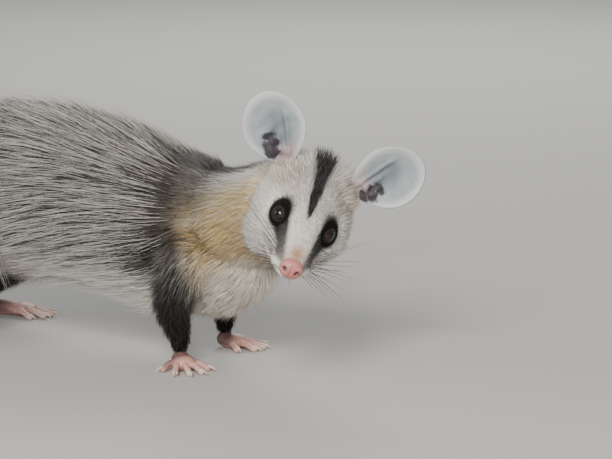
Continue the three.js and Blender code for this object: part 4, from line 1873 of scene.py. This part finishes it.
@dataclass
class Ear(Piece):
    """One thin cupped ear, with its folds and blotches.

    Attributes:
        side: 1 for the animal's left and -1 for its right.
        length: From root to tip, in millimetres.
        width: At its widest, in millimetres.
        thickness: In the middle, in millimetres.
    """

    side: int
    length: float = 48.5
    width: float = 39.0
    thickness: float = 1.1

    # Place over the width and along the ear, half width and half length, all in ear units, and height
    LOBES = (
        (0.10, -0.60, 0.17, 0.08, 2.1),
        (-0.16, -0.70, 0.11, 0.12, 1.7),
        (0.40, -0.56, 0.10, 0.15, 1.5),
        (0.26, -0.38, 0.06, 0.12, 1.0),
    )
    SPOTS = (
        (0.28, -0.13, 0.22, 0.10, 1.0),
        (0.42, -0.37, 0.25, 0.12, 1.0),
        (0.14, -0.33, 0.12, 0.08, 1.0),
        (0.50, -0.62, 0.20, 0.11, 1.0),
        (0.24, -0.58, 0.13, 0.07, 1.0),
    )
    LEFT_SPOT_DROP = 0.16

    def _humps(self, table: Sequence[Sequence[float]], inner: Array, along: Array) -> Array:
        """Sum of rounded humps.

        Args:
            table: One hump in each row.
            inner: -1 to 1 over the width, the same way round on both ears.
            along: -1 at the root to 1 at the tip.

        Returns:
            Heights.
        """
        return sum(h * np.exp(-(((inner - a) / w) ** 2 + ((along - b) / l) ** 2)) for a, b, w, l, h in table)

    def _crease(self, offset: Array, width: float, height: float) -> Array:
        """A rounded fold along a line.

        Args:
            offset: Distance from the line, in ear units.
            width: Half width of the fold.
            height: Its height in millimetres.

        Returns:
            Heights.
        """
        return height * np.exp(-((offset / width) ** 2))

    def _sheet(self, across: Array, along: Array) -> Array:
        """Middle sheet of the ear in its own axes.

        Args:
            across: -1 to 1 over its width.
            along: -1 at the root to 1 at the tip.

        Returns:
            Rows of across, up and hollow coordinates.
        """
        low = np.maximum(0, -along)
        width = 1 - 0.33 * low**1.5
        inner, reach = across * self.side, np.hypot(across, along)
        cup = (4.5 + 9 * low**2) * across * across * width + 3 * along * np.abs(along)
        ridge = self._crease(inner + 0.385 + 0.23 * along, 0.05, 1.7)
        ridge *= smooth(-0.95, -0.6, along) * smooth(0.5, 0.1, along)
        second = self._crease(inner + 0.12 + 0.35 * along, 0.06, 1.0)
        second *= smooth(-0.8, -0.5, along) * smooth(0.1, -0.2, along)
        pleats = 0.3 * np.sin(12.0 * along + 6.0 * inner + 1.5 * np.sin(4.0 * along))
        pleats *= smooth(0.88, 0.4, reach) * smooth(-0.6, -0.1, along)
        rim = 0.8 * smooth(0.82, 1.0, reach) * np.sin(3.0 * np.arctan2(along, inner) + 0.6)
        height = cup + ridge + second + self._humps(self.LOBES, inner, along) + pleats + rim
        return np.column_stack([self.width / 2 * across * width, self.length / 2 * (1 + along), height])

    def _axes(self) -> Array:
        """Directions across the ear, to its tip and out of its hollow.

        Returns:
            The three unit vectors in head axes, one in each column.
        """
        to_tip = unit(np.array([-0.13, 0.69 * self.side, 0.72]))
        hollow = np.array([0.93, 0.12 * self.side, 0.25])
        hollow = unit(hollow - to_tip * (hollow @ to_tip))
        return np.column_stack([np.cross(to_tip, hollow), to_tip, hollow])

    def build(self, material: Material) -> None:
        """Models the ear as a sphere flattened onto its middle sheet.

        Args:
            material: Its material.
        """
        mesh = bmesh.new()
        made, ball = add_sphere(mesh, 84, 56)
        reach = np.arccos(np.clip(np.abs(ball[:, 2]), 0, 1)) / (math.pi / 2)
        turn = np.arctan2(ball[:, 1], ball[:, 0])
        across, along = reach * np.cos(turn), reach * np.sin(turn)
        step = 0.01
        over = self._sheet(across + step, along) - self._sheet(across - step, along)
        up = self._sheet(across, along + step) - self._sheet(across, along - step)
        thick = self.thickness / 2 * (1 + 1.2 * np.maximum(0, -along) ** 2)
        thick *= np.sqrt(np.clip(1 - reach**6, 0, 1))
        sheet = self._sheet(across, along) + unit(np.cross(over, up)) * (np.sign(ball[:, 2]) * thick)[:, None]
        root = np.array(EAR_ROOT) * (1, self.side, 1)
        set_points(made, HEAD.place(sheet @ self._axes().T + root))
        self.from_bmesh(mesh, material)
        self.paint("ear_marks_and_shade", *self._colours(across, along, ball[:, 2]))

    def _colours(self, across: Array, along: Array, face: Array) -> tuple[Array, ...]:
        """Blotches, pink root, pale edge and painted shade in the hollow and under the folds.

        Args:
            across: -1 to 1 over its width.
            along: -1 at the root to 1 at the tip.
            face: Above 0 on the hollow side.

        Returns:
            Weights of blotch, pink, edge and painted hollow shade.
        """
        inner = across * self.side
        spots = self._humps(self.SPOTS, inner, along + (self.LEFT_SPOT_DROP if self.side > 0 else 0.0))
        blotch = np.clip(spots, 0, 1) * (face > 0) + 0.6 * smooth(-0.6, -0.95, along) * (face < 0)
        pink = 0.6 * smooth(-0.3, -0.7, along) * smooth(0.8, 0.2, np.abs(inner + 0.05))
        edge = smooth(0.7, 0.96, np.hypot(across, along))
        # Painted shade in the creases by the ridges and in the ear's deep cup
        fold_shade = self._crease(inner + 0.30 + 0.23 * along, 0.07, 0.5)
        fold_shade = (fold_shade + self._crease(inner + 0.02 + 0.35 * along, 0.22, 0.5)) * smooth(0.6, 0.1, along)
        hollow = fold_shade * smooth(-0.95, -0.6, along)
        hollow += 0.4 * smooth(0.72, 0.45, np.hypot(1.15 * inner + 0.1, along + 0.12))
        return blotch, pink, edge, hollow * (face > 0)


@dataclass
class Eye(Piece):
    """One wet eyeball.

    Attributes:
        side: 1 for the animal's left and -1 for its right.
        bulge: How far its clear front stands out, in millimetres.
    """

    side: int
    bulge: float = 0.35

    def build(self, material: Material) -> None:
        """Models the eyeball.

        Args:
            material: Its material.
        """
        mesh = bmesh.new()
        made, ball = add_sphere(mesh, 56, 36)
        outward = Socket(self.side).axes()[0]
        facing = unit(ball) @ outward
        points = ball * EYE_RADIUS + outward * (self.bulge * smooth(0.8, 1.0, facing))[:, None]
        set_points(made, HEAD.place(points + Socket(self.side).centre()))
        self.from_bmesh(mesh, material)
        self.paint("bare", smooth(0.72, 0.78, facing) * smooth(0.95, 0.91, facing))


@dataclass
class Lids(Piece):
    """The dark rims of one eye.

    Attributes:
        side: 1 for the animal's left and -1 for its right.
        thickness: Half thickness of the lower rim, in millimetres.
        brow: How much thicker the upper rim is, in millimetres.
        breadth: How much broader than thick the rims are.
    """

    side: int
    thickness: float = 0.5
    brow: float = 0.16
    breadth: float = 1.6

    RING = 64
    SECTION = 12
    SPUN_RADIUS = 4.0

    def build(self, material: Material) -> None:
        """Models the rims as one soft ring on the eyeball.

        Args:
            material: Its material.
        """
        mesh = bmesh.new()
        lean = Matrix.Translation((self.SPUN_RADIUS, 0, 0)) @ Matrix.Rotation(math.pi / 2, 4, "X")
        bmesh.ops.create_circle(mesh, segments=self.SECTION, radius=1.0, matrix=lean)
        bmesh.ops.spin(
            mesh,
            geom=[*mesh.verts, *mesh.edges],
            cent=(0, 0, 0),
            axis=(0, 0, 1),
            angle=2 * math.pi,
            steps=self.RING,
            use_merge=True,
        )
        x, y, z = points_of(mesh.verts).T
        turn, angle = np.arctan2(y, x), np.arctan2(z, np.hypot(x, y) - self.SPUN_RADIUS)
        socket = Socket(self.side)
        outward, ahead, above = socket.axes()
        spoke = ahead * np.cos(turn)[:, None] + above * np.sin(turn)[:, None]
        rim = (socket.rim(turn) + 0.25)[:, None]
        middle = outward * np.sqrt((EYE_RADIUS + 0.1) ** 2 - rim**2) + spoke * rim
        out = unit(middle)
        along_lid = unit(spoke - out * np.sum(spoke * out, axis=1, keepdims=True))
        thick = (self.thickness + self.brow * np.maximum(np.sin(turn), 0))[:, None]
        out *= np.sin(angle)[:, None] * thick
        along_lid *= np.cos(angle)[:, None] * thick * self.breadth
        set_points(mesh.verts, HEAD.place(socket.centre() + middle + out + along_lid))
        self.from_bmesh(mesh, material)
        self.paint("bare", 0.92)


@dataclass
class Nose(Piece):
    """The moist pink nose pad with its nostrils.

    Attributes:
        radii: Half its depth, width and height, in millimetres.
        centre: Its middle in head coordinates.
    """

    radii: tuple[float, ...] = (5.1, 7.3, 6.6)
    centre: tuple[float, ...] = (44.2, 0, -13.2)

    def build(self, material: Material) -> None:
        """Models the pad.

        Args:
            material: Its material.
        """
        mesh = bmesh.new()
        made, ball = add_sphere(mesh, 96, 64)
        local = ball * np.array(self.radii) + np.array(self.centre)
        x, y, z = local.T
        side = np.abs(y)
        hole = np.exp(-(((side - 3.9 - 0.25 * (z + 13.2)) / 1.15) ** 2 + ((z + 13.4) / 1.45) ** 2) ** 1.3)
        slit = np.exp(-(((side - 5.6) / 1.1) ** 2 + ((z + 14.0 - 0.5 * (side - 5.6)) / 0.55) ** 2))
        groove = np.exp(-((y / 0.42) ** 2)) * smooth(-8.5, -11.0, z)
        wing = np.exp(-(((side - 4.6) / 2.0) ** 2 + ((z + 10.6) / 1.5) ** 2))
        front = smooth(44.0, 46.0, x)
        local[:, 0] -= (2.4 * hole + 0.96 * slit + 0.9 * groove - 0.7 * wing) * front
        set_points(made, HEAD.place(local))
        self.from_bmesh(mesh, material)
        # The dark in the nostrils and the slits beside them is painted shade in their shallow dips
        self.paint("bare", 0.85 * np.clip(hole * 1.3 + 0.8 * slit, 0, 1) * front, 0.12 * wing)


@dataclass
class Whiskers(Piece):
    """The long curved whiskers of the lips, brows and chin.

    Attributes:
        rows: Rows on each lip.
        places: Whiskers in a row.
        thickness: Radius at the root of a lip whisker, in millimetres.
        brow_thickness: The same over the eyes.
        chin_thickness: The same on the chin.
    """

    rows: int = 4
    places: int = 5
    thickness: float = 0.16
    brow_thickness: float = 0.05
    chin_thickness: float = 0.06

    SEED = 71
    POINTS = 9
    TIP = 0.03
    SUNK = 1.5

    def build(self, material: Material) -> None:
        """Models every whisker as a thin tapered tube.

        Args:
            material: Their material.
        """
        random = np.random.default_rng(self.SEED)
        mesh = bmesh.new()
        for side in SIDES:
            for row, place in itertools.product(range(self.rows), range(self.places)):
                x = 35.5 - place * 3.6 + 0.4 * row
                root = (x, side * (8.6 + 0.55 * place + 0.3 * row), -11.5 - 2.3 * row)
                length = (18 + 8.4 * place + 2.5 * (1.5 - abs(row - 1.5))) * random.uniform(0.88, 1.12)
                out = (-0.3 - 0.1 * place, side * 1.0, 0.5 - 0.34 * row)
                self._whisker(mesh, root, out, length, self.thickness, random)
            for place in range(2):
                root, out = (3.0 - 3 * place, side * (12.5 + place), 9.0 - 0.4 * place), (-0.2, side, 0.7)
                self._whisker(mesh, root, out, random.uniform(9, 12), self.brow_thickness, random)
            for place in range(3):
                root = (28.0 - 6 * place, side * 3.5, -27.5 - 0.8 * place)
                out = (-0.3, side * 0.5, -0.8)
                self._whisker(mesh, root, out, random.uniform(7, 10), self.chin_thickness, random)
        self.from_bmesh(mesh, material)

    def _whisker(
        self,
        mesh: BMesh,
        root: Sequence[float],
        out: Sequence[float],
        length: float,
        thickness: float,
        random: np.random.Generator,
    ) -> None:
        """Adds one whisker that sweeps back.

        Args:
            mesh: The mesh to add to.
            root: Where it leaves the skin, in head coordinates.
            out: Its first direction.
            length: Its length in millimetres.
            thickness: Radius at the root, in millimetres.
            random: Source of chance.
        """
        t = np.linspace(0, 1, self.POINTS)
        side = math.copysign(1.0, root[1])
        way = unit(np.array(out) + random.normal(0, 0.06, 3))
        back = unit(np.array([-1.0, 0.35 * side, -0.35 + 0.5 * way[2]]))
        path = np.array(root) - way * self.SUNK
        path = path + way * (length * (t - 0.34 * t**2))[:, None] + back * (0.66 * length * t**2)[:, None]
        add_tube(mesh, HEAD.place(path), thickness * (1 - t) ** 0.7 + self.TIP, 5)


# Feet


@dataclass(frozen=True)
class FootPlan:
    """Sizes of a hand or a foot, in millimetres.

    Attributes:
        toes: Root forward and outward, angle outward in degrees and length of each toe, thumb first.
        palm: Centres and radii of the palm's forms.
        at: Place on the floor, forward and outward.
        reach: Length of the palm.
        headings: Way the foot points, by side, in degrees to the animal's left.
        thumb_claw: True if the thumb has a claw.
    """

    toes: tuple[tuple[float, ...], ...]
    palm: tuple[Ball, ...]
    at: tuple[float, float]
    reach: float
    headings: dict[int, float]
    thumb_claw: bool


FOOT_PLANS = {
    "fore": FootPlan(
        toes=(
            (6, -6.5, -62, 10),
            (12, -5.5, -24, 14),
            (14, -1.5, -4, 15.5),
            (13, 3, 14, 14.5),
            (9, 6.5, 40, 11.5),
        ),
        palm=(((3, 0, 5.6), (6.5, 6.2, 5.4)), ((8, 0, 4.6), (9.6, 8, 5))),
        at=(96, 33),
        reach=16.0,
        headings={1: 8, -1: -38},
        thumb_claw=True,
    ),
    "hind": FootPlan(
        toes=(
            (15, -7, -72, 14),
            (31, -5.5, -16, 15),
            (33, -1.5, -3, 17),
            (32, 3, 9, 16.5),
            (28, 7, 24, 14.5),
        ),
        palm=(((1, 0, 5.6), (8.4, 6.2, 6.4)), ((14, 0, 4.6), (18, 7, 5.2)), ((27, 0.4, 4.4), (10, 9, 4.6))),
        at=(-99, 42),
        reach=30.0,
        headings={1: 9, -1: -9},
        thumb_claw=False,
    ),
}


@dataclass
class Foot(Piece):
    """One hand or foot with toes, pads and claws.

    Attributes:
        kind: "fore" or "hind".
        side: 1 for the animal's left and -1 for its right.
        toe_radius: Thickness of a toe, in millimetres.
        claw: Length of a claw, in millimetres.
        voxel: Size of the faces, in millimetres.
    """

    kind: str
    side: int
    toe_radius: float = 2.3
    claw: float = 5.5
    voxel: float = 0.55

    # Shares of the toe's length, heights above the floor and thicknesses against its radius
    TOE = (
        (-0.35, -0.1, 0.15, 0.3, 0.42, 0.55, 0.66, 0.76, 0.88, 1.0, 1.06),
        (3.6, 3.9, 4.3, 4.4, 4.0, 3.3, 2.9, 2.3, 2.0, 2.0, 2.1),
        (0.9, 1.0, 0.98, 1.02, 0.9, 0.86, 0.92, 0.86, 1.06, 0.86, 0.45),
    )
    THUMB_SWELL = 1.15

    def __post_init__(self) -> None:
        """Sets the foot's place and the way it points."""
        self.plan = FOOT_PLANS[self.kind]
        x, y = self.plan.at
        self.at = np.array([x + STEPS[self.kind, self.side], self.side * y, 0.0])
        self.turned = rotation(2, self.plan.headings[self.side])

    def _toe_path(self, toe: tuple[float, ...], reach: Array, height: Array) -> Array:
        """Points along one toe.

        Args:
            toe: Root forward and outward, angle and length.
            reach: Distances from its root.
            height: Heights above the floor.

        Returns:
            Rows of layout coordinates.
        """
        turn = math.radians(toe[2]) * -self.side
        x = toe[0] + math.cos(turn) * reach
        y = -self.side * toe[1] + math.sin(turn) * reach
        return np.column_stack([x, y, height]) @ self.turned.T + self.at

    def build(self, material: Material) -> None:
        """Models the hand or foot, flat where it meets the floor.

        Args:
            material: Its material.
        """
        mesh = bmesh.new()
        for centre, radii in self.plan.palm:
            made, ball = add_sphere(mesh, 28, 18)
            set_points(made, (ball * np.array(radii) + np.array(centre)) @ self.turned.T + self.at)
        shares, heights, radii = np.array(self.TOE)
        for toe in self.plan.toes:
            bare_thumb = toe is self.plan.toes[0] and not self.plan.thumb_claw
            radius = self.toe_radius * (self.THUMB_SWELL if bare_thumb else 1.0)
            add_tube(mesh, self._toe_path(toe, shares * toe[3], heights), radius * radii, 14)
        mesh = remeshed(mesh, self.voxel, 3)
        set_points(mesh.verts, np.maximum(points_of(mesh.verts), (-np.inf, -np.inf, 0.0)))
        self.from_bmesh(mesh, material)
        local = (self.layout_points() - self.at) @ self.turned
        reach = self.plan.reach
        dark = smooth(reach, reach * 0.35, local[:, 0]) * smooth(1.2, 3.5, local[:, 2])
        self.paint("bare", 0.8 * dark, 0.5 * smooth(reach + 2, reach + 14, local[:, 0]))

    def add_claws(self, mesh: BMesh) -> None:
        """Adds the claws to a mesh.

        Args:
            mesh: The mesh to add to.
        """
        t = np.linspace(0, 1, 8)
        height = 2.9 + 0.9 * np.sin(t * 2.0) - 2.7 * t**2
        for toe in self.plan.toes[0 if self.plan.thumb_claw else 1 :]:
            reach = toe[3] - 1.6 + (self.claw + 1.4) * t
            add_tube(mesh, self._toe_path(toe, reach, height), 1.05 * (1 - t) ** 0.7 + 0.07, 10)


@dataclass
class Claws(Piece):
    """All the claws of the four feet."""

    def build(self, feet: Sequence[Foot], material: Material) -> None:
        """Models the claws.

        Args:
            feet: The feet.
            material: Their material.
        """
        mesh = bmesh.new()
        for foot in feet:
            foot.add_claws(mesh)
        self.from_bmesh(mesh, material)


# The tail


@dataclass
class Tail(Piece):
    """The long tail, bare and scaly past its furred root.

    Attributes:
        scale_length: Length of a row of scales, in millimetres.
        scales_round: Scales round the tail.
    """

    scale_length: float = 1.7
    scales_round: int = 16

    LINE_POINTS = 400

    def build(self, material: Material) -> None:
        """Models the tail, flat where it lies on the floor.

        Args:
            material: Its material.
        """
        mesh = bmesh.new()
        made, ball = add_sphere(mesh, 40, 360)
        shares, angles = polar(ball)
        set_points(made, np.maximum(TAIL.surface(shares, angles), (-np.inf, -np.inf, 0.0)))
        self.from_bmesh(mesh, material)
        self.paint("bare", 0.0, smooth(0.42, 0.72, shares))
        self.chart("scales", self._unrolled(shares, angles))

    def _unrolled(self, shares: Array, angles: Array) -> Array:
        """Unrolls the tail so that one unit is one scale each way, with no seam torn across a face.

        Args:
            shares: Place of each vertex along the tail.
            angles: Its angle round the tail.

        Returns:
            One row for each corner of the faces.
        """
        places = np.linspace(0, 1, self.LINE_POINTS)
        line = spline(np.array(TAIL.stations)[:, :3], places)
        travelled = np.append(0, np.cumsum(np.linalg.norm(np.diff(line, axis=0), axis=1)))
        data = self.object.data
        corners = read(data.loops, "vertex_index", np.int32)
        starts, totals = (read(data.polygons, name, np.int32) for name in ("loop_start", "loop_total"))
        turn = angles[corners] / (2 * math.pi) + 0.5
        first = np.repeat(turn[starts], totals)
        turn = np.where(first - turn > 0.5, turn + 1, np.where(turn - first > 0.5, turn - 1, turn))
        rows = np.interp(shares[corners], places, travelled) / self.scale_length
        return np.column_stack([turn * self.scales_round, rows])


# The studio


@dataclass(frozen=True)
class Studio:
    """Floor, lamps and camera.

    Attributes:
        layout: The animal's layout.
        target: Where the lamps aim, in metres.
        lamps: Name, place, width in metres, power in watts and tint of each lamp.
        sky: Brightness of the even light all round.
    """

    layout: Layout
    target: tuple[float, ...] = (0.12, 0.0, 0.08)
    lamps: tuple[tuple, ...] = (
        ("key", (0.85, -1.75, 1.25), 0.7, 54.0, "#fffaf4"),
        ("fill", (-1.6, -1.2, 0.9), 1.4, 12.0, "#eef3ff"),
        ("rim", (-0.6, 1.7, 1.3), 1.0, 26.0, "#ffffff"),
        ("glint", (1.16, -1.62, 0.62), 0.15, 10.0, "#ffffff"),
    )
    sky: float = 0.42

    def build(self) -> None:
        """Builds the studio."""
        self._camera()
        self._light()
        self._floor(FloorFinish().build())

    def _floor(self, material: Material) -> None:
        """Lays the floor.

        Args:
            material: Its material.
        """
        mesh = bmesh.new()
        bmesh.ops.create_grid(mesh, x_segments=2, y_segments=2, size=6.0)
        data = bpy.data.meshes.new("floor")
        mesh.to_mesh(data)
        mesh.free()
        data.materials.append(material)
        add_object("floor", data)

    def _light(self) -> None:
        """Sets the sky and the soft lamps, which aim at the animal's shoulders."""
        world = bpy.data.worlds.new("studio")
        world.use_nodes = True
        shade = world.node_tree.nodes["Background"]
        shade.inputs[0].default_value = linear("#e5e4e2")
        shade.inputs[1].default_value = self.sky
        bpy.context.scene.world = world
        for name, place, size, power, tint in self.lamps:
            data = bpy.data.lights.new(name, "AREA")
            data.size = size
            data.energy = power
            data.color = linear(tint)[:3]
            lamp = add_object(name, data)
            lamp.location = place
            aim = Vector(self.target) - Vector(place)
            lamp.rotation_euler = aim.to_track_quat("-Z", "Y").to_euler()

    def _camera(self) -> None:
        """Sets the camera at the photo's viewing angle and framing."""
        _, back, _ = camera_axes()
        data = bpy.data.cameras.new("camera")
        data.sensor_width = SENSOR_WIDTH
        data.lens = SENSOR_WIDTH * CAMERA_DISTANCE / (IMAGE_WIDTH * PIXEL_SIZE)
        data.shift_x = (IMAGE_WIDTH / 2 - EYE_PIXEL[0]) / IMAGE_WIDTH
        data.shift_y = (EYE_PIXEL[1] - IMAGE_HEIGHT / 2) / IMAGE_WIDTH
        data.clip_end = 50.0
        camera = add_object("camera", data)
        camera.location = Vector(self.layout.metres(EYE_POINT + back * CAMERA_DISTANCE))
        camera.rotation_euler = Vector(-back).to_track_quat("-Z", "Y").to_euler()
        bpy.context.scene.camera = camera


# Putting it together


@dataclass(frozen=True)
class Opossum:
    """The whole animal.

    Attributes:
        layout: The animal's layout.
    """

    layout: Layout

    def build(self) -> None:
        """Builds every piece."""
        self._body()
        self._face()
        self._feet_and_tail()

    def _body(self) -> None:
        """Builds the skin and its coat."""
        skin = Skin("skin", self.layout)
        skin.build(FurFinish("furred_skin", is_skin=True).build())
        coat = Coat(skin, FurFinish("opossum_fur").build())
        legs = [f"{kind}leg_{word}" for kind in FOOT_PLANS for word in SIDES.values()]
        skin.hand_over("grey_fur", "head", "neck", "torso", *legs)
        for zone in ZONES:
            for piece in coat.grow(zone):
                piece.hand_over("pale_fur" if zone.name == "head" else "grey_fur")

    def _face(self) -> None:
        """Builds ears, eyes, lids, nose and whiskers."""
        ear_skin, gloss = EarFinish().build(), EyeFinish().build()
        rim = SkinFinish("eyelid_skin", "#2c2322", "#211a1a", "#0c0a0a", 0.35, 0.72, 0.0).build()
        for side, word in SIDES.items():
            ear = Ear(f"ear_{word}_skin", self.layout, side)
            ear.build(ear_skin)
            ear.hand_over("ear_skin", f"ear_{word}")
            eye = Eye(f"eyeball_{word}", self.layout, side)
            eye.build(gloss)
            eye.hand_over("eye", f"eye_{word}")
            lids = Lids(f"eyelids_{word}", self.layout, side)
            lids.build(rim)
            lids.hand_over("pale_fur")
        nose = Nose("nose_pad", self.layout)
        # The nose's dark colour, #3f1f1f, is painted shade in the nostrils
        nose.build(SkinFinish("nose_skin", "#cb8882", "#a9625f", "#3f1f1f", 0.5, 0.48, 0.35).build())
        nose.hand_over("nose_skin", "nose")
        whiskers = Whiskers("whiskers", self.layout)
        whiskers.build(HornFinish("whisker_hair", "#2b2422", 0.4).build())
        whiskers.hand_over("pale_fur")

    def _feet_and_tail(self) -> None:
        """Builds hands, feet, claws and tail."""
        skin = SkinFinish("toe_skin", "#d3a79b", "#bd8a80", "#2a2223", 0.6, 0.5).build()
        feet = []
        for kind in FOOT_PLANS:
            for side, word in SIDES.items():
                foot = Foot(f"{kind}foot_{word}_skin", self.layout, kind, side)
                foot.build(skin)
                foot.hand_over("toe_skin", f"{kind}foot_{word}")
                feet.append(foot)
        claws = Claws("claws", self.layout)
        claws.build(feet, HornFinish("claw_horn", "#d9cbb6").build())
        claws.hand_over("toe_skin")
        tail = Tail("tail_skin", self.layout)
        tail.build(TailFinish().build())
        tail.hand_over("tail_skin", "tail_base", "tail_middle", "tail_tip")


def main() -> None:
    """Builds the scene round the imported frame."""
    logging.basicConfig(level=logging.INFO, format="%(name)s: %(message)s")
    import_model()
    layout = Layout()
    Studio(layout).build()
    Opossum(layout).build()


if __name__ == "__main__":
    main()
